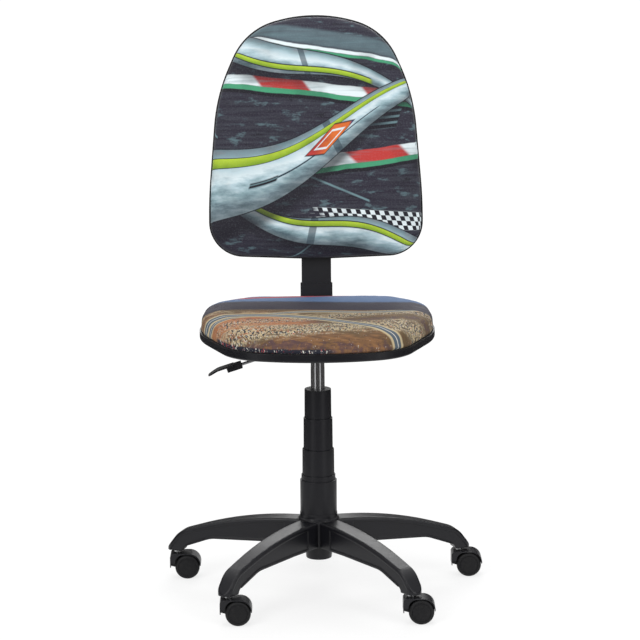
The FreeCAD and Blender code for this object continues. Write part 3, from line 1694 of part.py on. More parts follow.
def check_document():
    """Stops the build if any object failed, or a cut took nothing away."""
    for thing in doc.Objects:
        if "Invalid" in thing.State or "Error" in thing.State:
            raise ValueError(f"{thing.Label} failed: {thing.State} {thing.getStatusString()}")
    for body in doc.findObjects("PartDesign::Body"):
        previous = None
        for feature in body.Group:
            if not feature.isDerivedFrom("PartDesign::Feature"):
                continue
            cuts = feature.TypeId in ("PartDesign::Pocket", "PartDesign::Groove")
            if cuts and feature.Shape.Volume >= previous.Shape.Volume * (1 - 1e-9):
                raise ValueError(f"{body.Label}: {feature.Name} cuts nothing")
            previous = feature


def export():
    """Writes each sub-part's shape to its own file."""
    os.makedirs("parts", exist_ok=True)
    pieces = doc.findObjects("PartDesign::Body") + doc.findObjects("Part::Feature", Label="tilt_spring")
    for piece in pieces:
        shape = piece.Shape
        if shape.isNull() or not shape.isValid() or not shape.Solids:
            raise ValueError(f"{piece.Label} has no valid shape")
        shape.exportStep(f"parts/{piece.Label}.step")
    print(len(pieces), "sub-parts written")


main()
check_document()
export()
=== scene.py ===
import json
import math

import bmesh
import bpy
from mathutils import Matrix, Vector, noise


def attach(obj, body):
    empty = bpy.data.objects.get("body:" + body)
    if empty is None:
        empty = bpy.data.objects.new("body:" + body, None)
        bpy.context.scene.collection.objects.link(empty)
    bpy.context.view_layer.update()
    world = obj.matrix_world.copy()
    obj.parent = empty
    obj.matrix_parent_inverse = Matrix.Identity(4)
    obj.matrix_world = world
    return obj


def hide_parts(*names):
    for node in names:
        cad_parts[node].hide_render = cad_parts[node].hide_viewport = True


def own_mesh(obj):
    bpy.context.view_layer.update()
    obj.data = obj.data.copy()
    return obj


# A child's swivel desk chair: printed cushions in black shells, gas lift, star base on casters.
# Everything is in metres: Z is up, the sitter faces -Y, the height lever is on the -X side.

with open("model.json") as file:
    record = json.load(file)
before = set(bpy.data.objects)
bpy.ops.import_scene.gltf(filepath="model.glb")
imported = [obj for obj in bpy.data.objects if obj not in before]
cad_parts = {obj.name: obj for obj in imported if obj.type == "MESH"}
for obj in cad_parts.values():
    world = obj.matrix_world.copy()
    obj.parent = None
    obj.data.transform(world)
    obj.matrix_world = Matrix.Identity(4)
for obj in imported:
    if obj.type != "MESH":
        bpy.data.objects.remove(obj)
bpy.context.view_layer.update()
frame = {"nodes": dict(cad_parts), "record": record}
nodes = frame["nodes"]
print("frame loaded:", len(nodes), "nodes")


# Shader maths: a signal is one output socket, and what is done to it adds the nodes for that

class Signal:
    def __init__(self, finish, socket):
        self.finish = finish
        self.socket = socket

    def maths(self, operation, *values):
        inputs = dict(enumerate((self, *values)))
        return self.finish.add("Math", {"operation": operation}, inputs)

    def __add__(self, other):
        return self.maths("ADD", other)

    def __sub__(self, other):
        return self.maths("SUBTRACT", other)

    def __rsub__(self, other):
        return self.finish.add("Math", {"operation": "SUBTRACT"}, {0: other, 1: self})

    def __mul__(self, other):
        return self.maths("MULTIPLY", other)

    def __truediv__(self, other):
        return self.maths("DIVIDE", other)

    def __abs__(self):
        return self.maths("ABSOLUTE")

    __radd__ = __add__
    __rmul__ = __mul__

    def sine(self):
        return self.maths("SINE")

    def above(self, edge, soft):
        # 0 below the edge and 1 above it, with a soft step between
        settings = {"interpolation_type": "SMOOTHSTEP"}
        return self.finish.add("MapRange", settings, {0: self, 1: edge - soft, 2: edge + soft})

    def below(self, edge, soft):
        return 1.0 - self.above(edge, soft)

    def within(self, half, soft):
        return abs(self).below(half, soft)

    def laid(self, mask, colour):
        # this picture with a colour over it where the mask is 1
        return self.finish.mix(mask, self, colour)

    def striped(self, across, half, colour, keep=1.0, soft=0.012):
        # this picture with a stripe of the colour along the line where across is 0
        return self.laid(across.within(half, soft) * keep, colour)


class Finish:
    def __init__(self, name, **constants):
        self.material = bpy.data.materials.new(name)
        self.material.use_nodes = True
        self.tree = self.material.node_tree
        self.tree.nodes.clear()
        self.shader = self.tree.nodes.new("ShaderNodeBsdfPrincipled")
        self.output = self.tree.nodes.new("ShaderNodeOutputMaterial")
        self.tree.links.new(self.shader.outputs[0], self.output.inputs[0])
        for name, value in constants.items():
            self.shader.inputs[name.replace("_", " ")].default_value = value

    def add(self, kind, settings, inputs, output=0):
        node = self.tree.nodes.new("ShaderNode" + kind)
        for name, value in settings.items():
            setattr(node, name, value)
        for name, value in inputs.items():
            self.feed(node.inputs[name], value)
        return Signal(self, node.outputs[output])

    def feed(self, socket, value):
        if isinstance(value, Signal):
            self.tree.links.new(value.socket, socket)
        elif socket.type == "RGBA" and len(value) == 3:
            socket.default_value = (*value, 1.0)
        else:
            socket.default_value = value

    def set(self, name, value):
        self.feed(self.shader.inputs[name], value)

    def place(self):
        return self.add("TexCoord", {}, {}, "Object")

    def attribute(self, name):
        return self.add("Attribute", {"attribute_name": name}, {}, "Vector")

    def mapped(self, vector, scale=(1, 1, 1), turn=(0, 0, 0), shift=(0, 0, 0)):
        inputs = {"Vector": vector, "Scale": scale, "Rotation": turn, "Location": shift}
        return self.add("Mapping", {}, inputs)

    def split(self, vector):
        node = self.add("SeparateXYZ", {}, {0: vector})
        outputs = node.socket.node.outputs
        return [Signal(self, outputs[axis]) for axis in range(3)]

    def grain(self, vector, scale, detail=2.0, rough=0.5):
        inputs = {"Vector": vector, "Scale": scale, "Detail": detail, "Roughness": rough}
        return self.add("TexNoise", {}, inputs)

    def cells(self, vector, scale, output="Distance"):
        return self.add("TexVoronoi", {}, {"Vector": vector, "Scale": scale}, output)

    def mix(self, share, under, over):
        # sockets 6 and 7 are the two colours, and output 2 is the mixed one
        return self.add("Mix", {"data_type": "RGBA"}, {0: share, 6: under, 7: over}, 2)

    def ramp(self, share, stops):
        colours = self.add("ValToRGB", {}, {0: share})
        elements = colours.socket.node.color_ramp.elements
        while len(elements) < len(stops):
            elements.new(1.0)
        for element, (position, colour) in zip(elements, stops):
            element.position = position
            element.color = (*colour, 1.0)
        return colours

    def bump(self, height, depth, strength=1.0, normal=None):
        inputs = {"Height": height, "Distance": depth, "Strength": strength}
        if normal is not None:
            inputs["Normal"] = normal
        return self.add("Bump", {}, inputs)

    def softEdge(self, radius):
        return self.add("Bevel", {"samples": 4}, {"Radius": radius})


# Moulded plastics: a fine spark-eroded grain, slow drifts of gloss and a soft line where faces meet

plasticLook = {
    "colour": (0.0052, 0.0052, 0.0072),
    "dusty": (0.0105, 0.0105, 0.0135),
    "specular": 0.32,
    "roughness": 0.27,
    "driftPerMetre": 9,
    "scuffPerMetre": 60,
    "grainPerMetre": 1400,
    "grainDepth": 0.00006,
    "edgeRadius": 0.0006,
    "legEdgeRadius": 0.0035,
}


def blackPlastic(name, edgeRadius):
    look = plasticLook
    finish = Finish(name, Specular_IOR_Level=look["specular"])
    place = finish.place()
    drift = finish.grain(place, look["driftPerMetre"], detail=4.0)
    scuff = finish.grain(finish.mapped(place, scale=(1, 1, 5)), look["scuffPerMetre"], detail=3.0)
    grain = finish.cells(place, look["grainPerMetre"])
    finish.set("Base Color", finish.mix(drift * 0.5 + scuff * 0.25, look["colour"], look["dusty"]))
    finish.set("Roughness", look["roughness"] + drift * 0.12 + scuff * 0.08)
    finish.set("Normal", finish.bump(grain, look["grainDepth"], 0.5, finish.softEdge(edgeRadius)))
    return finish.material


wheelLook = {
    "colour": (0.0065, 0.0065, 0.0075),
    "worn": (0.015, 0.0145, 0.0145),
    "specular": 0.22,
    "roughness": 0.44,
    "driftPerMetre": 40,
    "scuffPerMetre": 240,
    "scuffDepth": 0.00005,
    "edgeRadius": 0.0005,
}


def wheelNylon():
    look = wheelLook
    finish = Finish("wheelNylon", Specular_IOR_Level=look["specular"])
    place = finish.place()
    scuff = finish.grain(place, look["scuffPerMetre"], detail=4.0, rough=0.65)
    drift = finish.grain(place, look["driftPerMetre"])
    finish.set("Base Color", finish.mix(scuff.above(0.56, 0.1) * 0.5, look["colour"], look["worn"]))
    finish.set("Roughness", look["roughness"] + drift * 0.1 + scuff * 0.12)
    edge = finish.softEdge(look["edgeRadius"])
    finish.set("Normal", finish.bump(scuff, look["scuffDepth"], 0.5, edge))
    return finish.material


# Metals: powder-coated bar, zinc-plated screws and springs, a drawn lever and a chromed column

powderLook = {
    "colour": (0.008, 0.008, 0.010),
    "dusty": (0.015, 0.015, 0.018),
    "specular": 0.3,
    "roughness": 0.38,
    "driftPerMetre": 14,
    "peelPerMetre": 700,
    "peelDepth": 0.00012,
    "edgeRadius": 0.0005,
}


def blackSteel():
    look = powderLook
    finish = Finish("blackSteel", Specular_IOR_Level=look["specular"])
    place = finish.place()
    peel = finish.grain(place, look["peelPerMetre"])
    drift = finish.grain(place, look["driftPerMetre"], detail=3.0)
    finish.set("Base Color", finish.mix(drift, look["colour"], look["dusty"]))
    finish.set("Roughness", look["roughness"] + drift * 0.12)
    edge = finish.softEdge(look["edgeRadius"])
    finish.set("Normal", finish.bump(peel, look["peelDepth"], 0.5, edge))
    return finish.material


zincLook = {
    "bright": (0.50, 0.50, 0.49),
    "shade": (0.36, 0.37, 0.39),
    "roughness": 0.24,
    "flakesPerMetre": 260,
    "cloudsPerMetre": 30,
    "cloudDepth": 0.00008,
    "edgeRadius": 0.0003,
}


def zincSteel():
    look = zincLook
    finish = Finish("zincSteel")
    place = finish.place()
    flakes = finish.cells(place, look["flakesPerMetre"], "Color")
    clouds = finish.grain(place, look["cloudsPerMetre"], detail=4.0)
    finish.set("Base Color", finish.mix(clouds, look["bright"], look["shade"]))
    finish.set("Metallic", 0.92 + clouds * 0.08)
    finish.set("Roughness", look["roughness"] + finish.split(flakes)[0] * 0.12)
    edge = finish.softEdge(look["edgeRadius"])
    finish.set("Normal", finish.bump(clouds, look["cloudDepth"], 0.4, edge))
    return finish.material


leverLook = {
    "dull": (0.20, 0.20, 0.21),
    "bright": (0.33, 0.33, 0.34),
    "roughness": 0.28,
    "stretched": (6, 220, 220),
    "marksPerMetre": 6,
    "markDepth": 0.00005,
}


def leverSteel():
    # drawn rod, with fine marks along its length
    look = leverLook
    finish = Finish("leverSteel")
    place = finish.mapped(finish.place(), scale=look["stretched"])
    drawn = finish.grain(place, look["marksPerMetre"], detail=3.0)
    finish.set("Base Color", finish.mix(drawn, look["dull"], look["bright"]))
    finish.set("Metallic", 0.85 + drawn * 0.1)
    finish.set("Roughness", look["roughness"] + drawn * 0.14)
    finish.set("Normal", finish.bump(drawn, look["markDepth"], 0.4))
    return finish.material


chromeLook = {
    "bright": (0.62, 0.62, 0.63),
    "shade": (0.44, 0.44, 0.46),
    "roughness": 0.09,
    "ringsPerMetre": (4, 4, 2600),
    "ringDepth": 0.00001,
    "hazePerMetre": 26,
}


def columnChrome():
    # ground and plated tube: fine rings round the column, and a faint haze of oil above the cover
    look = chromeLook
    finish = Finish("columnChrome")
    place = finish.place()
    rings = finish.grain(finish.mapped(place, scale=look["ringsPerMetre"]), 1.0)
    haze = finish.grain(place, look["hazePerMetre"], detail=3.0)
    finish.set("Base Color", finish.mix(haze, look["bright"], look["shade"]))
    finish.set("Metallic", 0.97 + haze * 0.03)
    finish.set("Roughness", look["roughness"] + rings * 0.06 + haze * 0.05)
    finish.set("Normal", finish.bump(rings, look["ringDepth"], 0.3))
    return finish.material


# Pieces that show little or not at all

bushingLook = {
    "colour": (0.62, 0.61, 0.56),
    "pale": (0.72, 0.71, 0.67),
    "roughness": 0.42,
    "driftPerMetre": 60,
}


def bushingPlastic():
    look = bushingLook
    finish = Finish("bushingPlastic")
    drift = finish.grain(finish.place(), look["driftPerMetre"], detail=3.0)
    finish.set("Base Color", finish.mix(drift, look["colour"], look["pale"]))
    finish.set("Roughness", look["roughness"] + drift * 0.12)
    return finish.material


rubberLook = {
    "colour": (0.012, 0.012, 0.012),
    "bloom": (0.035, 0.034, 0.033),
    "roughness": 0.7,
    "bloomPerMetre": 120,
    "bloomDepth": 0.0001,
}


def bumperRubber():
    look = rubberLook
    finish = Finish("bumperRubber")
    bloom = finish.grain(finish.place(), look["bloomPerMetre"], detail=4.0)
    finish.set("Base Color", finish.mix(bloom, look["colour"], look["bloom"]))
    finish.set("Roughness", look["roughness"] + bloom * 0.2)
    finish.set("Normal", finish.bump(bloom, look["bloomDepth"], 0.6))
    return finish.material


liningLook = {
    "colour": (0.006, 0.006, 0.007),
    "pale": (0.018, 0.018, 0.020),
    "specular": 0.15,
    "sheen": 0.05,
    "roughness": 0.85,
    "fibresPerMetre": 900,
    "fibreDepth": 0.0003,
}


def liningCloth():
    # black felt that wraps the seat's and the back's boards
    look = liningLook
    finish = Finish("liningCloth", Specular_IOR_Level=look["specular"], Sheen_Weight=look["sheen"])
    fibres = finish.grain(finish.place(), look["fibresPerMetre"], detail=3.0, rough=0.7)
    finish.set("Base Color", finish.mix(fibres, look["colour"], look["pale"]))
    finish.set("Roughness", look["roughness"] + fibres * 0.1)
    finish.set("Normal", finish.bump(fibres, look["fibreDepth"], 0.7))
    return finish.material


# Printed cloth: both covers are thin warp-knitted polyester, smooth, with a low sheen

clothLook = {
    "dark": (0.012, 0.012, 0.014),
    "knitShade": 0.05,
    "fuzzShade": 0.07,
    "specular": 0.22,
    "roughness": 0.66,
    "sheen": 0.04,
    "sheenRoughness": 0.45,
    "ribsPerMetre": 500,
    "threadDepth": 0.00022,
    "fuzzPerMetre": 900,
    "foldsPerMetre": 22,
    "foldDepth": 0.0012,
}


def knittedCover(finish, place, printed):
    # the print laid over a fine knit: ribs one way, stitches the other
    look = clothLook
    x, y = finish.split(place)[:2]
    turn = 2 * math.pi * look["ribsPerMetre"]
    ribs = (x * turn).sine()
    stitches = (y * turn + (x * turn * 0.5).sine() * 1.5).sine()
    knit = ribs * stitches * 0.5 + 0.5
    fuzz = finish.grain(place, look["fuzzPerMetre"])
    folds = finish.grain(place, look["foldsPerMetre"])
    shade = knit * look["knitShade"] + fuzz * look["fuzzShade"]
    finish.set("Base Color", printed.laid(shade, look["dark"]))
    finish.set("Roughness", look["roughness"] + fuzz * 0.12)
    threads = finish.bump(knit * 0.7 + fuzz * 0.3, look["threadDepth"], 0.35)
    finish.set("Normal", finish.bump(folds, look["foldDepth"], 0.25, threads))
    finish.set("Sheen Weight", look["sheen"])
    finish.set("Sheen Roughness", look["sheenRoughness"])
    finish.set("Specular IOR Level", look["specular"])
    return finish.material


# Lines across a print, in decimetres: u runs to the right, v up the back or to the rear of the seat

def straight(u, v, line):
    # how far a point is above a line that rises evenly with u
    return v - line["height"] - u * line["slope"]


def waved(u, v, line):
    # the same for a line that also swings to and fro
    return straight(u, v, line) - (u * line["turns"] + line["phase"]).sine() * line["swing"]


backPrint = {
    "middle": 3.45,
    "asphalt": (0.022, 0.019, 0.033),
    "asphaltPale": (0.072, 0.080, 0.100),
    "ink": (0.010, 0.009, 0.015),
    "deep": (0.030, 0.050, 0.070),
    "steel": (0.15, 0.25, 0.28),
    "silver": (0.46, 0.61, 0.67),
    "white": (0.76, 0.85, 0.88),
    "lime": (0.46, 0.62, 0.045),
    "limeShade": (0.20, 0.34, 0.020),
    "green": (0.060, 0.32, 0.17),
    "red": (0.50, 0.045, 0.040),
    "orange": (0.72, 0.16, 0.03),
    "blue": (0.035, 0.060, 0.24),
    "rail": {"height": 2.02, "slope": -0.16, "half": 0.16},
    "kerbs": [
        {"height": 1.02, "slope": -0.11, "half": 0.10, "beat": 3.1},
        {"height": -0.52, "slope": 0.13, "half": 0.13, "beat": 2.3},
    ],
    "slant": 0.35,
    "louvres": [
        {"across": 1.15, "height": 0.22, "slope": 0.1, "wide": 0.42, "high": 0.19, "slats": 52},
        {"across": -1.30, "height": -1.02, "slope": -0.2, "wide": 0.34, "high": 0.15, "slats": 60},
    ],
    "vent": {"across": -0.75, "height": -0.13, "wide": 0.26, "high": 0.055, "slats": 95},
    "struts": [
        # slope, drop
        (0.55, -0.15),
        (-0.42, 0.85),
        (0.9, 2.1),
    ],
    "strutHalf": 0.022,
    "chequers": {"height": -1.62, "slope": -0.06, "square": 0.095, "start": 0.15},
    "topRibbon": {
        "height": 1.46, "slope": -0.34, "turns": 1.5, "phase": 0.3, "swing": 0.16,
        "half": 0.23, "taper": -0.07, "least": 0.07, "seams": 6.5, "seamLean": 0.3,
    },
    "lowRibbon": {
        "height": -1.86, "slope": -0.30, "turns": 1.7, "phase": -0.4, "swing": 0.18,
        "half": 0.27, "taper": 0.06, "least": 0.10, "seams": 5.1, "seamLean": -0.2,
    },
    "wideRibbon": {
        "height": -0.10, "slope": 0.44, "turns": 1.25, "phase": -0.7, "swing": 0.26,
        "half": 0.46, "taper": -0.13, "least": 0.10, "seams": 4.3, "seamLean": 0.5,
    },
    "outline": 0.02,
    "flash": {"across": 0.30, "height": 0.02, "squat": 0.6, "size": 0.215, "line": 0.13, "tail": 0.62},
}


def backCloth():
    # a speed graphic of no one's make: metal ribbons with lime edges, kerb bars, louvres and chequers
    look = backPrint
    finish = Finish("backCloth")
    place = finish.attribute("printPlace")
    flat = finish.mapped(place, scale=(10, 10, 10), shift=(0, -look["middle"], 0))
    u, v = finish.split(flat)[:2]
    lean = u - v * look["slant"]
    streaks = finish.grain(finish.mapped(place, scale=(3, 60, 1), turn=(0, 0, 0.16)), 3.0, 4.0)
    gloss = finish.grain(finish.mapped(place, scale=(5, 16, 1), turn=(0, 0, -0.35)), 3.2, 5.0, 0.62)
    patches = finish.grain(place, 13.0, 3.0)
    speckle = finish.grain(place, 300.0, 3.0, 0.7)
    blur = finish.grain(finish.mapped(place, scale=(4, 11, 1), turn=(0, 0, 0.3)), 6.0, 4.0, 0.6)
    ragged = (patches - 0.5) * 0.10

    shadeStops = [
        (0.0, look["ink"]), (0.14, look["deep"]), (0.30, look["steel"]), (0.46, look["silver"]),
        (0.60, look["white"]), (0.74, look["silver"]), (0.88, look["steel"]), (1.0, look["deep"]),
    ]
    metalTones = [(0.30, look["steel"]), (0.52, look["silver"]), (0.70, look["white"])]

    def ribbon(picture, line):
        # bent sheet metal: dark to bright across its width, seams at odd distances along it
        across = waved(u, v, line)
        half = (line["half"] + u * line["taper"]).maths("MAXIMUM", line["least"])
        shadow = (across + half * 0.55).within(half * 1.15, 0.16)
        tone = across / half * 0.5 + 0.5 + (gloss - 0.5) * 0.55
        metal = finish.ramp(tone, shadeStops).laid(0.30, finish.ramp(gloss, metalTones))
        along = (u + v * line["seamLean"]) * line["seams"]
        seam = (along.sine() + (along * 0.37 + 1.0).sine() * 0.6).above(1.52, 0.02)
        metal = metal.laid(seam * 0.7, look["deep"])
        picture = picture.laid(shadow * 0.8, look["ink"])
        picture = picture.striped(across, half + look["outline"], look["ink"])
        return picture.striped(across, half, metal, soft=0.008), across, half

    def limeStripe(picture, across, half, keep=1.0):
        # lime in a dark outline, shaded a little along one edge
        picture = picture.striped(across, half + 0.022, look["ink"], keep)
        tone = finish.mix(across / half * 0.5 + gloss, look["limeShade"], look["lime"])
        return picture.striped(across, half, tone, keep, 0.008)

    def louvres(picture, x, y, patch):
        # a slanted dark patch of pale slats
        field = x.within(patch["wide"], 0.02) * y.within(patch["high"], 0.02)
        slat = (y * patch["slats"]).sine().above(0.35, 0.25)
        return picture.laid(field, finish.mix(slat * 0.8, look["ink"], look["steel"]))

    # the ground: dark and grainy, streaked as things are at speed
    ground = finish.mix(streaks.above(0.52, 0.20) * 0.6, look["asphalt"], look["asphaltPale"])
    ground = ground.laid(patches.above(0.48, 0.14) * 0.7, look["asphalt"])
    ground = ground.laid(blur.above(0.62, 0.07) * 0.55, look["steel"])
    picture = ground.laid(blur.below(0.36, 0.08) * 0.8, look["ink"])

    # a pale rail and a green verge at the very top
    rail = straight(u, v, look["rail"]) + ragged
    paint = finish.mix(streaks, look["steel"], look["asphaltPale"])
    picture = picture.striped(rail - 0.02, look["rail"]["half"], paint, keep=0.9, soft=0.05)
    picture = picture.striped(rail + 0.20, 0.035, look["white"])
    picture = picture.striped(rail + 0.27, 0.028, look["green"])

    # kerb bars behind the ribbons: long blurred blocks over a green line
    for line in look["kerbs"]:
        kerb = straight(u, v, line) + ragged
        blocks = (u * line["beat"] + v * 2.4 + line["height"]).sine().above(0.12, 0.14)
        paint = finish.mix(blocks, look["white"], look["red"])
        paint = paint.laid(streaks.above(0.55, 0.1) * 0.4, look["steel"])
        picture = picture.striped(kerb, line["half"], paint)
        picture = picture.striped(kerb + line["half"] + 0.05, 0.05, look["green"])
        picture = picture.striped(kerb + line["half"] + 0.14, 0.035, look["ink"])

    # louvres and struts in the dark between the ribbons
    for patch in look["louvres"]:
        picture = louvres(picture, lean - patch["across"], straight(u, v, patch), patch)
    for slope, drop in look["struts"]:
        shown = (u * 2.0 + drop).sine().above(0.1, 0.05)
        picture = picture.striped(v - u * slope + drop, look["strutHalf"], look["steel"], shown)

    # broken chequers
    square = look["chequers"]["square"]
    up = straight(u, v, look["chequers"])
    columns = ((u + v * look["slant"]) * (math.pi / square)).sine()
    dark = (columns * (up * (math.pi / square)).sine()).above(0.0, 0.1)
    shown = (u + streaks * 1.6 - 0.8).above(look["chequers"]["start"], 0.2)
    field = up.within(square * 2, 0.012) * shown
    picture = picture.laid(field, finish.mix(dark, look["white"], look["ink"]))

    # three ribbons with their lime edges, the widest last
    picture, top = ribbon(picture, look["topRibbon"])[:2]
    picture = limeStripe(picture, top + 0.13 - u * 0.03, 0.045, keep=u.below(1.15, 0.05))

    picture, low = ribbon(picture, look["lowRibbon"])[:2]
    picture = limeStripe(picture, low - 0.16, 0.05, keep=u.above(-1.3, 0.04))

    picture, wide, half = ribbon(picture, look["wideRibbon"])
    picture = limeStripe(picture, wide / half - 0.60, 0.13)
    picture = picture.striped(wide / half + 0.20, 0.035, look["deep"], keep=u.within(1.3, 0.05))
    vent = look["vent"]
    picture = louvres(picture, lean - vent["across"], wide - vent["height"], vent)

    # a warm flash on the widest ribbon: orange into red, with a blue tail
    flash = look["flash"]
    reach = abs(lean - flash["across"]) * flash["squat"] + abs(wide - flash["height"])
    flame = finish.mix((lean * 2.2 + gloss).above(0.95, 0.35), look["red"], look["orange"])
    flame = flame.laid((lean - flash["tail"]).above(0.0, 0.03), look["blue"])
    picture = picture.laid(reach.below(flash["size"] + look["outline"], 0.012), look["ink"])
    picture = picture.laid(reach.below(flash["size"], 0.012), flame)
    picture = picture.laid((reach - flash["line"]).within(0.016, 0.006), look["white"])

    # the unevenness of a transfer print
    picture = picture.laid(speckle.above(0.6, 0.14) * 0.04, look["white"])
    picture = picture.laid(patches.below(0.42, 0.12) * 0.30, look["ink"])
    return knittedCover(finish, place, picture)


seatPrint = {
    "ochre": (0.25, 0.125, 0.054),
    "brown": (0.100, 0.056, 0.032),
    "olive": (0.100, 0.084, 0.036),
    "rust": (0.42, 0.150, 0.055),
    "cream": (0.50, 0.41, 0.25),
    "sky": (0.040, 0.090, 0.22),
    "skyPale": (0.12, 0.20, 0.34),
    "slate": (0.016, 0.017, 0.028),
    "ribbon": (0.085, 0.110, 0.135),
    "pale": (0.66, 0.64, 0.58),
    "red": (0.36, 0.040, 0.050),
    "plum": (0.070, 0.040, 0.060),
    "glow": {"across": -1.25, "height": -0.95},
    "fleckBands": [
        {
            "height": -0.55, "slope": 0.24, "turns": 1.4, "phase": -0.55, "swing": 0.12,
            "half": 0.22, "pale": 0.55,
        },
        {
            "height": -1.45, "slope": 0.16, "turns": 1.4, "phase": -1.45, "swing": 0.10,
            "half": 0.34, "pale": 0.85,
        },
    ],
    "ribbons": [
        {"height": -0.10, "slope": 0.16, "turns": 1.9, "phase": 2.2, "swing": 0.16, "half": 0.065},
        {"height": -0.95, "slope": -0.34, "turns": 1.2, "phase": 2.2, "swing": 0.34, "half": 0.110},
    ],
    "slateFrom": 0.20,
    "skyFrom": 1.08,
    "redLine": {"height": 1.72, "slope": 0.12, "half": 0.07},
    # how high the painted shade along the foot of the cover reaches
    "tuckShadeTop": 0.5355,
}


def seatCloth():
    # dry ground seen from afar, of no real place: strata, two ribbons and bands of flecks; painted
    # shade at the foot of the cover
    look = seatPrint
    finish = Finish("seatCloth")
    place = finish.attribute("printPlace")
    u, v = finish.split(finish.mapped(place, scale=(10, 10, 10)))[:2]
    broad = finish.grain(place, 7.0, 3.0)
    fine = finish.grain(place, 70.0, 5.0, 0.7)
    drawn = finish.grain(finish.mapped(place, scale=(1, 3.2, 1), turn=(0, 0, 0.12)), 34.0, 5.0, 0.68)

    dunes = v + (u * 1.1 + broad * 3.0).sine() * 0.26 + drawn * 0.7
    strata = (dunes * 4.5).sine() * 0.5 + 0.5
    picture = finish.mix(drawn.above(0.5, 0.18), look["brown"], look["ochre"])
    scrub = finish.mix(fine, look["olive"], look["brown"])
    picture = picture.laid(broad.above(0.50, 0.08) * 0.75, scrub)
    across, up = u - look["glow"]["across"], v - look["glow"]["height"]
    glow = across * across * 0.35 + up * up * 0.8 - drawn * 0.5
    picture = picture.laid(glow.below(0.16, 0.3) * 0.85, look["rust"])
    picture = picture.laid((strata * drawn).above(0.50, 0.05) * 0.5, look["cream"])
    picture = picture.laid((strata + fine).below(0.52, 0.08) * 0.6, look["plum"])

    # flecks in two long ragged bands that follow the strata, drawn long as seen from far off
    flecks = finish.grain(finish.mapped(place, scale=(1.3, 0.6, 1)), 170.0, 2.0, 0.6)
    litter = finish.grain(finish.mapped(place, scale=(1.5, 0.7, 1), shift=(3, 1, 0)), 190.0, 2.0, 0.6)
    clumps = finish.grain(finish.mapped(place, scale=(1, 1.4, 1), turn=(0, 0, 0.25)), 50.0, 3.0, 0.7)
    for line in look["fleckBands"]:
        course = waved(u, v, line) + (drawn - 0.5) * 0.5
        inside = course.within(line["half"], 0.14) * (u + drawn * 0.8).above(-1.7, 0.3)
        dark = inside * flecks.above(0.53, 0.03) * clumps.above(0.42, 0.1)
        picture = picture.laid(inside * clumps.above(0.46, 0.08) * line["pale"], look["cream"])
        picture = picture.laid(dark, look["slate"])
        picture = picture.laid(inside * litter.above(0.62, 0.03), look["pale"])
        picture = picture.laid(inside * flecks.below(0.34, 0.02), look["red"])
    picture = picture.laid(litter.above(0.68, 0.02) * 0.6, look["slate"])
    picture = picture.laid(litter.below(0.31, 0.02) * 0.6, look["pale"])

    # two narrow ribbons, pale at both edges and down the middle
    for line in look["ribbons"]:
        path = waved(u, v, line)
        picture = picture.striped(path, line["half"] * 1.6, look["cream"], soft=0.03)
        picture = picture.striped(path, line["half"], look["ribbon"])
        picture = picture.striped(path, line["half"] * 0.10, look["pale"], soft=0.004)

    # rear: slate, then streaked blue, with one thin red line
    rear = v + (u * 1.4).sine() * 0.06 + (fine - 0.5) * 0.12 + u * 0.03
    streak = finish.grain(finish.mapped(place, scale=(4, 60, 1)), 5.0, 4.0)
    slate = finish.mix(streak * 0.3, look["slate"], look["plum"])
    picture = picture.laid(rear.above(look["slateFrom"], 0.05), slate)
    sky = finish.mix(streak, look["sky"], look["skyPale"])
    picture = picture.laid(rear.above(look["skyFrom"], 0.10), sky)
    redLine = straight(u, v, look["redLine"])
    picture = picture.striped(redLine, look["redLine"]["half"], look["red"], soft=0.03)

    # a thin dark strip just over the rim at the front left: painted shade where the cover turns down
    # to the board, with printed pale and red flecks in it
    height = finish.split(finish.place())[2] + (clumps - 0.5) * 0.004
    tuckShade = height.below(look["tuckShadeTop"], 0.0015) * v.below(-1.0, 0.1)
    tuckShade = tuckShade * (u + drawn * 0.4).below(0.45, 0.2)
    edge = finish.mix(litter.above(0.62, 0.03), look["slate"], look["pale"])
    edge = edge.laid(flecks.below(0.36, 0.03), look["red"])
    picture = picture.laid(tuckShade, edge)
    return knittedCover(finish, place, picture)


print("materials ready")


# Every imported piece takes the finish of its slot

finishes = {
    "black_plastic": blackPlastic("blackPlastic", plasticLook["edgeRadius"]),
    "wheel_nylon": wheelNylon(),
    "black_steel": blackSteel(),
    "steel": zincSteel(),
    "chrome": columnChrome(),
    "bushing_plastic": bushingPlastic(),
    "bumper_rubber": bumperRubber(),
    "plywood": liningCloth(),  # the boards are wrapped
    "back_fabric": backCloth(),
    "seat_fabric": seatCloth(),
}
ownFinish = {
    "lever_rod": leverSteel(),
    "star_base": blackPlastic("basePlastic", plasticLook["legEdgeRadius"]),
}

for part in frame["record"]["subparts"]:
    piece = nodes[part["node"]]
    material = ownFinish.get(part["node"], finishes[part["material_slot"]])
    for place in piece.material_slots:
        place.material = material
print("packed pieces finished")


# Helpers for modelled pieces

def newPiece(name, mesh, material):
    piece = bpy.data.objects.new(name, mesh)
    bpy.context.scene.collection.objects.link(piece)
    mesh.materials.clear()
    mesh.materials.append(material)
    return piece


def applied(piece):
    # the piece's evaluated mesh takes the place of its mesh and modifiers
    evaluated = piece.evaluated_get(bpy.context.evaluated_depsgraph_get())
    mesh = bpy.data.meshes.new_from_object(evaluated)
    piece.modifiers.clear()
    piece.data = mesh
    return mesh


def smooth(mesh):
    mesh.polygons.foreach_set("use_smooth", [True] * len(mesh.polygons))


# Geometry Nodes: a recipe is a tree with named sizes, made into a plain mesh before it is used

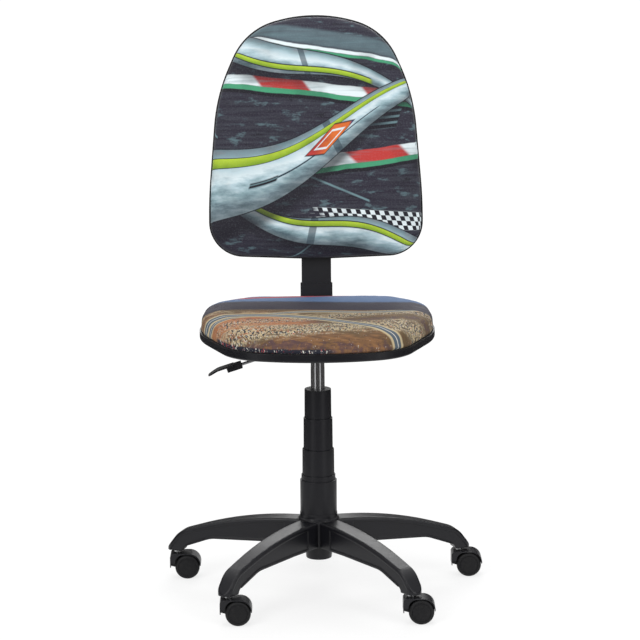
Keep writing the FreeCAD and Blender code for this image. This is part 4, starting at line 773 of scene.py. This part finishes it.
class Recipe:
    def __init__(self, name, **sizes):
        self.tree = bpy.data.node_groups.new(name, "GeometryNodeTree")
        for way in ("INPUT", "OUTPUT"):
            self.tree.interface.new_socket("Geometry", in_out=way, socket_type="NodeSocketGeometry")
        for size, value in sizes.items():
            socket = self.tree.interface.new_socket(size, socket_type="NodeSocketFloat")
            socket.default_value = value
        self.given = self.tree.nodes.new("NodeGroupInput")
        self.result = self.tree.nodes.new("NodeGroupOutput")

    def size(self, name):
        return Signal(self, self.given.outputs[name])

    def add(self, kind, settings, inputs, output=0):
        # these two kinds are shared with materials; a list goes into one socket, link by link
        prefix = "ShaderNode" if kind in ("Math", "CombineXYZ") else ""
        node = self.tree.nodes.new(prefix + kind)
        for name, value in settings.items():
            setattr(node, name, value)
        for name, value in inputs.items():
            for part in value if isinstance(value, list) else [value]:
                self.feed(node.inputs[name], part)
        return Signal(self, node.outputs[output])

    def feed(self, socket, value):
        if isinstance(value, Signal):
            self.tree.links.new(value.socket, socket)
        else:
            socket.default_value = value

    def vector(self, x, y, z):
        return self.add("CombineXYZ", {}, {0: x, 1: y, 2: z})

    def moved(self, shape, shift=(0, 0, 0), turn=(0, 0, 0), scale=(1, 1, 1)):
        inputs = {"Geometry": shape, "Translation": shift, "Rotation": turn, "Scale": scale}
        return self.add("GeometryNodeTransform", {}, inputs)

    def lifted(self, shape, height):
        return self.moved(shape, shift=self.vector(0.0, 0.0, height))

    def joined(self, *shapes):
        # links into one socket are read last first, so they go in backwards
        return self.add("GeometryNodeJoinGeometry", {}, {0: list(reversed(shapes))})

    def spiral(self, steps, turns, radius, height):
        winding = {
            "Resolution": steps,
            "Rotations": turns,
            "Start Radius": radius,
            "End Radius": radius,
            "Height": height,
        }
        return self.add("GeometryNodeCurveSpiral", {}, winding)

    def swept(self, path, corners, radius):
        # a round section, or one with few corners, drawn along the path
        around = {"Resolution": corners, "Radius": radius}
        section = self.add("GeometryNodeCurvePrimitiveCircle", {"mode": "RADIUS"}, around)
        sweep = {"Curve": path, "Profile Curve": section, "Fill Caps": True}
        return self.add("GeometryNodeCurveToMesh", {}, sweep)

    def finished(self, shape, material):
        self.material = material
        solid = self.add("GeometryNodeRealizeInstances", {}, {"Geometry": shape})
        dressed = self.add("GeometryNodeSetMaterial", {}, {"Geometry": solid, "Material": material})
        self.feed(self.result.inputs[0], dressed)

    def made(self, name, points=((0, 0, 0),), **sizes):
        # a piece from the points that the tree is given, with sizes of its own where it has some
        mesh = bpy.data.meshes.new(name)
        mesh.from_pydata(points, [], [])
        piece = newPiece(name, mesh, self.material)
        modifier = piece.modifiers.new("recipe", "NODES")
        modifier.node_group = self.tree
        for item in self.tree.interface.items_tree:
            if item.in_out == "INPUT" and item.name in sizes:
                modifier[item.identifier] = float(sizes[item.name])
        applied(piece)
        return piece


def fitted(piece, place, body, node):
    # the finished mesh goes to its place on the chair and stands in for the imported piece
    piece.data.transform(place)
    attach(piece, body)
    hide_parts(node)
    print(piece.name, "made:", len(piece.data.polygons), "faces")


# Pan-head screws with a cross recess, four in the rear shell

shellScrews = {
    "rows": [
        # half the distance between the two, height up the shell
        (0.1364, 0.17686),
        (0.1232, 0.4943),
    ],
    "shellBack": 0.006,
    "sizes": {
        "headRadius": 0.0042,
        "headHeight": 0.0020,
        "shankRadius": 0.0022,
        "shankLength": 0.0140,
        "crossLength": 0.0048,
        "crossWidth": 0.0011,
        "crossDepth": 0.0012,
        "seed": 5,
    },
}
# the backrest's own frame: its foot, and how far it leans back
backLean = {"origin": (0, 0.246, 0.540), "angle": math.radians(6)}
leaning = Matrix.Translation(backLean["origin"]) @ Matrix.Rotation(-backLean["angle"], 4, "X")


def crossScrew(material):
    # the upper half of a flattened ball, cut by two crossed bars, on a plain shank
    recipe = Recipe("crossScrew", **shellScrews["sizes"])
    radius, rise = recipe.size("headRadius"), recipe.size("headHeight")
    ball = recipe.add("GeometryNodeMeshUVSphere", {}, {"Segments": 28, "Rings": 14, "Radius": 1.0})
    dome = recipe.moved(ball, scale=recipe.vector(radius, radius, rise))
    side = radius * 3
    block = recipe.add("GeometryNodeMeshCube", {}, {"Size": recipe.vector(side, side, side)})
    below = recipe.lifted(block, side * -0.5)
    length, width, depth = (recipe.size(size) for size in ("crossLength", "crossWidth", "crossDepth"))
    arm = recipe.add("GeometryNodeMeshCube", {}, {"Size": recipe.vector(length, width, depth * 2)})
    bar = recipe.lifted(arm, rise)
    cross = recipe.moved(bar, turn=(0, 0, math.pi / 2))
    cut = {"Mesh 1": dome, "Mesh 2": [below, bar, cross]}
    way = {"operation": "DIFFERENCE", "solver": "EXACT"}
    head = recipe.add("GeometryNodeMeshBoolean", way, cut)
    length = recipe.size("shankLength")
    rod = {"Vertices": 16, "Radius": recipe.size("shankRadius"), "Depth": length}
    shank = recipe.lifted(recipe.add("GeometryNodeMeshCylinder", {}, rod), length * -0.5)
    # sockets 2 and 3 are the least and greatest plain number, 8 is the seed, and output 1 the number
    turns = {2: 0.0, 3: math.pi, 8: recipe.size("seed")}
    spin = recipe.add("FunctionNodeRandomValue", {"data_type": "FLOAT"}, turns, 1)
    setting = {
        "Points": Signal(recipe, recipe.given.outputs["Geometry"]),
        "Instance": recipe.joined(head, shank),
        "Rotation": recipe.vector(-math.pi / 2, spin, 0.0),
    }
    recipe.finished(recipe.add("GeometryNodeInstanceOnPoints", {}, setting), material)
    return recipe


steel = finishes["steel"]
places = [(x * side, -shellScrews["shellBack"], z) for x, z in shellScrews["rows"] for side in (-1, 1)]
screws = crossScrew(steel).made("shellScrews", places)
fitted(screws, leaning, "backrest", "back_screws")


# Threaded rods: the tilt tension's and the height clamp's

level = Matrix.Rotation(-math.pi / 2, 4, "X")  # lays an upright rod down, to point to the rear
threads = {
    "tensionThread": {
        "node": "tension_screw",
        "body": "tension",
        "length": 0.0170,
        "place": Matrix.Translation((0, 0.100, 0.4525)),
    },
    "clampThread": {
        "node": "knob_screw",
        "body": "clamp_knob",
        "length": 0.0244,
        "place": leaning @ Matrix.Translation((0, 0.0041, 0.196)) @ level,
    },
}
threadSizes = {"radius": 0.004, "pitch": 0.00125, "depth": 0.0007, "length": 0.017}


def threadedRod(material):
    # a rod at the root of the thread, and a small diamond swept round it for the crest
    recipe = Recipe("threadedRod", **threadSizes)
    length, depth = recipe.size("length"), recipe.size("depth")
    root, pitch = recipe.size("radius") - depth, recipe.size("pitch")
    rod = {"Vertices": 32, "Radius": root, "Depth": length}
    core = recipe.lifted(recipe.add("GeometryNodeMeshCylinder", {}, rod), length * 0.5)
    spiral = recipe.spiral(28, length / pitch - 1.0, root, length - pitch)
    path = recipe.lifted(spiral, pitch * 0.5)
    crest = recipe.swept(path, 4, depth)
    recipe.finished(recipe.joined(core, crest), material)
    return recipe


rodRecipe = threadedRod(steel)
for name, thread in threads.items():
    rod = rodRecipe.made(name, length=thread["length"])
    fitted(rod, thread["place"], thread["body"], thread["node"])


# The tilt spring: one wire wound round, made at rest; on the chair the bar presses it down as the
# backrest leans

tiltSpring = {
    "foot": (0, 0.100, 0.47275),
    "pressedFrom": (0, 0.100, 0.4715),
    "pressedTo": 0.5,
    "sizes": {"coilRadius": 0.0095, "wire": 0.00125, "turns": 3.5, "height": 0.0197},
}


def coiledWire(material):
    recipe = Recipe("coiledWire", **tiltSpring["sizes"])
    turns, radius, height = (recipe.size(size) for size in ("turns", "coilRadius", "height"))
    path = recipe.spiral(36, turns, radius, height)
    recipe.finished(recipe.swept(path, 12, recipe.size("wire")), material)
    return recipe


spring = coiledWire(steel).made("tiltCoil")
smooth(spring.data)
fitted(spring, Matrix.Translation(tiltSpring["foot"]), "seat_frame", "tilt_spring")
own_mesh(spring)


# Cushions: foam under a stretched cover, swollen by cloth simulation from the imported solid

covering = {
    "voxel": 0.0045,
    "remeshRounds": 3,
    "clothRounds": 2,
    "relaxShare": 0.5,
    "shrink": 0.0015,
    "heldDepth": 0.006,
    "seated": 0.0025,  # what lies lower rests flat on the board
    "frames": 20,
    "pressure": 4.0,
    "quality": 6,
    "tension": 18,
    "compression": 12,
    "bending": 1.2,
    "cap": 0.0022,  # the furthest that the simulation moves a point
    "puckersPerMetre": 46,
    "finerPuckers": 2.3,
    "puckerStart": 0.002,
    "sideShare": 0.7,
    "fill": 0.75,
}
# each place is from the cushion's own frame, its board at z = 0 and its crown at +z, to the chair's
seatPad = {
    "node": "seat_cushion",
    "body": "seat_frame",
    "slot": "seat_fabric",
    "place": Matrix.Translation((0, 0, 0.525)),
    "thickness": 0.0435,
    "puckerHeight": 0.016,
    "puckerDepth": 0.0007,
}
backPad = {
    "node": "back_cushion",
    "body": "backrest",
    "slot": "back_fabric",
    "place": leaning @ Matrix.Translation((0, -0.024, 0)) @ Matrix.Rotation(math.pi / 2, 4, "X"),
    "thickness": 0.036,
    "puckerHeight": 0.014,
    "puckerDepth": 0.0006,
}


def mergedCopy(node):
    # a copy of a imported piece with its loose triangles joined
    copy = bmesh.new()
    copy.from_mesh(nodes[node].data)
    bmesh.ops.remove_doubles(copy, verts=copy.verts, dist=0.00002)
    mesh = bpy.data.meshes.new(node)
    copy.to_mesh(mesh)
    copy.free()
    return mesh


def relax(mesh, rounds):
    # evens out the stair steps that remeshing leaves
    axes = {"use_axis_x": True, "use_axis_y": True, "use_axis_z": True}
    soft = bmesh.new()
    soft.from_mesh(mesh)
    for _ in range(rounds):
        bmesh.ops.smooth_vert(soft, verts=soft.verts, factor=covering["relaxShare"], **axes)
    soft.to_mesh(mesh)
    soft.free()


def swell(piece):
    scene = bpy.context.scene
    held = piece.vertex_groups.new(name="held")
    for vertex in piece.data.vertices:
        if vertex.co.z < covering["heldDepth"]:
            held.add([vertex.index], 1.0, "REPLACE")
    cloth = piece.modifiers.new("cover", "CLOTH").settings
    cloth.use_pressure = True
    cloth.uniform_pressure_force = covering["pressure"]
    cloth.effector_weights.gravity = 0.0
    cloth.vertex_group_mass = "held"
    cloth.quality = covering["quality"]
    cloth.tension_stiffness = covering["tension"]
    cloth.compression_stiffness = covering["compression"]
    cloth.bending_stiffness = covering["bending"]
    for number in range(1, covering["frames"] + 1):
        scene.frame_set(number)
        bpy.context.view_layer.update()
    before = [vertex.co.copy() for vertex in piece.data.vertices]
    mesh = applied(piece)
    scene.frame_set(1)
    for vertex, start in zip(mesh.vertices, before):
        shift = vertex.co - start
        if shift.length > covering["cap"]:
            vertex.co = start + shift.normalized() * covering["cap"]


def pucker(mesh, pad):
    # the cover gathers a little where it turns under to the board
    for vertex in mesh.vertices:
        height = vertex.co.z / pad["puckerHeight"]
        if height > 1:
            continue
        flat = Vector((vertex.co.x, vertex.co.y, 0))
        place = flat * covering["puckersPerMetre"]
        wave = noise.noise(place) + 0.5 * noise.noise(place * covering["finerPuckers"])
        start = min(1.0, max(0.0, vertex.co.z) / covering["puckerStart"])
        strength = max(0.0, 1 - height) * start
        vertex.co += flat.normalized() * wave * strength * pad["puckerDepth"]


def printPlaces(mesh, pad):
    # where each point falls on the flat cloth: the sides are laid out past the edge of the top
    places = mesh.attributes.new("printPlace", "FLOAT_VECTOR", "POINT")
    for vertex, place in zip(mesh.vertices, places.data):
        flat = Vector((vertex.co.x, vertex.co.y, 0))
        fall = max(0.0, pad["thickness"] - vertex.co.z)
        out = Vector((vertex.normal.x, vertex.normal.y, 0))
        place.vector = flat + out * fall * covering["sideShare"]


def cushion(pad):
    mesh = mergedCopy(pad["node"])
    mesh.transform(pad["place"].inverted())
    piece = newPiece(pad["node"].replace("_", "") + "Cover", mesh, finishes[pad["slot"]])
    remesh = piece.modifiers.new("even", "REMESH")
    remesh.mode = "VOXEL"
    remesh.voxel_size = covering["voxel"]
    mesh = applied(piece)
    relax(mesh, covering["remeshRounds"])
    for vertex in mesh.vertices:
        if vertex.co.z > covering["heldDepth"]:
            vertex.co -= vertex.normal * covering["shrink"]
        elif vertex.co.z < covering["seated"]:
            vertex.co.z = 0.0
    swell(piece)
    mesh = piece.data
    relax(mesh, covering["clothRounds"])
    pucker(mesh, pad)
    rounded = piece.modifiers.new("rounded", "SUBSURF")
    rounded.levels = rounded.render_levels = 1
    mesh = applied(piece)
    printPlaces(mesh, pad)
    mesh.transform(pad["place"])
    smooth(mesh)
    mesh.materials.clear()
    mesh.materials.append(finishes[pad["slot"]])
    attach(piece, pad["body"])
    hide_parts(pad["node"])
    print(piece.name, "made:", len(mesh.polygons), "faces")


cushion(seatPad)
cushion(backPad)


# Studio: pale floor, white surround, large soft lamps, and dark flags that give metal its contrast

studio = {
    "floorColour": (0.86, 0.86, 0.86),
    "floorRoughness": 0.75,
    "floorReach": 14.0,
    "surround": 0.42,  # how brightly the world lights the chair
    "seen": 1.0,  # and how bright it looks
    "floorSeen": 1.06,  # the floor's own white
    "floorShare": 0.72,  # its share under the chair, where shadows show; far out it is 1
    "shadowReach": 1.2,
    "shadowSoft": 0.72,
    "lamps": [
        # name, place, size, power
        ("keyLamp", (-2.6, -3.4, 2.9), (2.2, 2.2), 105),
        ("fillLamp", (3.0, -3.0, 2.1), (2.0, 2.6), 70),
        ("topLamp", (0.0, 0.4, 4.2), (2.6, 2.6), 62),
        ("backLamp", (0.4, 3.6, 2.6), (2.4, 1.6), 60),
    ],
    "aim": (0, 0, 0.6),
}

flags = {
    "reach": 0.9,
    "low": 0.0,
    "high": 0.66,
    "steps": 12,
    "colour": (0.09, 0.087, 0.086),
    "roughness": 0.9,
    "specular": 0.1,
    # where each gap between two flags is, in degrees from the front towards +X, and how wide
    "gaps": [(-42, 14), (42, 12), (180, 10)],
}


def seenWhite(finish):
    # camera, glossy and transmission rays see the white background
    camera = finish.add("LightPath", {}, {}, "Is Camera Ray")
    glossy = Signal(finish, camera.socket.node.outputs["Is Glossy Ray"])
    passed = Signal(finish, camera.socket.node.outputs["Is Transmission Ray"])
    return camera.maths("MAXIMUM", glossy.maths("MAXIMUM", passed))


def makeFloor():
    half = studio["floorReach"]
    mesh = bpy.data.meshes.new("floor")
    corners = [(-half, -half, 0), (half, -half, 0), (half, half, 0), (-half, half, 0)]
    mesh.from_pydata(corners, [], [(0, 1, 2, 3)])
    finish = Finish("floorPaint", Roughness=studio["floorRoughness"])
    finish.set("Base Color", studio["floorColour"])
    glow = finish.add("Emission", {}, {"Color": (1, 1, 1), "Strength": studio["floorSeen"]})
    x, y = finish.split(finish.place())[:2]
    away = (x * x + y * y).maths("SQRT").above(studio["shadowReach"], studio["shadowSoft"])
    share = seenWhite(finish) * (studio["floorShare"] + away * (1.0 - studio["floorShare"]))
    paint = Signal(finish, finish.shader.outputs[0])
    finish.feed(finish.output.inputs[0], finish.add("MixShader", {}, {0: share, 1: paint, 2: glow}))
    newPiece("floor", mesh, finish.material)


def makeFlags():
    # upright dark screens in a ring, out of the camera's sight, that only reflections show
    mesh = bpy.data.meshes.new("flags")
    gaps = sorted(flags["gaps"])
    points, faces = [], []
    for number, (angle, width) in enumerate(gaps):
        following, followingWidth = gaps[(number + 1) % len(gaps)]
        start = angle + width / 2
        end = following - followingWidth / 2
        if end < start:
            end += 360
        for step in range(flags["steps"] + 1):
            turn = math.radians(start + (end - start) * step / flags["steps"])
            x, y = flags["reach"] * math.sin(turn), -flags["reach"] * math.cos(turn)
            points += [(x, y, flags["low"]), (x, y, flags["high"])]
            if step:
                last = len(points)
                faces.append((last - 4, last - 2, last - 1, last - 3))
    mesh.from_pydata(points, [], faces)
    finish = Finish("flagCloth", Roughness=flags["roughness"], Specular_IOR_Level=flags["specular"])
    finish.set("Base Color", flags["colour"])
    screen = newPiece("flags", mesh, finish.material)
    screen.visible_camera = False
    screen.visible_diffuse = False
    screen.visible_shadow = False


def makeWorld():
    world = bpy.data.worlds.new("surround")
    bpy.context.scene.world = world
    world.use_nodes = True
    tree = world.node_tree
    background = tree.nodes["Background"]
    background.inputs["Color"].default_value = (1, 1, 1, 1)
    rays = tree.nodes.new("ShaderNodeLightPath")
    most = [tree.nodes.new("ShaderNodeMath") for _ in range(2)]
    for node in most:
        node.operation = "MAXIMUM"
    tree.links.new(rays.outputs["Is Camera Ray"], most[0].inputs[0])
    tree.links.new(rays.outputs["Is Glossy Ray"], most[0].inputs[1])
    tree.links.new(most[0].outputs[0], most[1].inputs[0])
    tree.links.new(rays.outputs["Is Transmission Ray"], most[1].inputs[1])
    strength = tree.nodes.new("ShaderNodeMapRange")
    strength.inputs["To Min"].default_value = studio["surround"]
    strength.inputs["To Max"].default_value = studio["seen"]
    tree.links.new(most[1].outputs[0], strength.inputs["Value"])
    tree.links.new(strength.outputs[0], background.inputs["Strength"])


def makeLamps():
    for name, place, size, power in studio["lamps"]:
        lamp = bpy.data.lights.new(name, "AREA")
        lamp.shape = "RECTANGLE"
        lamp.size, lamp.size_y = size
        lamp.energy = power
        holder = bpy.data.objects.new(name, lamp)
        bpy.context.scene.collection.objects.link(holder)
        holder.location = place
        towards = Vector(studio["aim"]) - holder.location
        holder.rotation_euler = towards.to_track_quat("-Z", "Y").to_euler()


view = {
    "place": (-0.0258, -5.99995, 1.7333),
    "aim": (0.00551, -0.00003, 0.5526),
    "roll": math.radians(-0.422),
    "lens": 172.76,
    "sensor": 36,
}


def makeCamera():
    camera = bpy.data.cameras.new("camera")
    camera.lens = view["lens"]
    camera.sensor_width = view["sensor"]
    holder = bpy.data.objects.new("camera", camera)
    bpy.context.scene.collection.objects.link(holder)
    holder.location = view["place"]
    towards = Vector(view["aim"]) - holder.location
    facing = towards.to_track_quat("-Z", "Y").to_matrix().to_4x4()
    holder.rotation_euler = (facing @ Matrix.Rotation(view["roll"], 4, "Z")).to_euler()
    bpy.context.scene.camera = holder


makeFloor()
makeFlags()
makeWorld()
makeLamps()
makeCamera()
bpy.context.scene.view_settings.view_transform = "Standard"
print("studio ready")
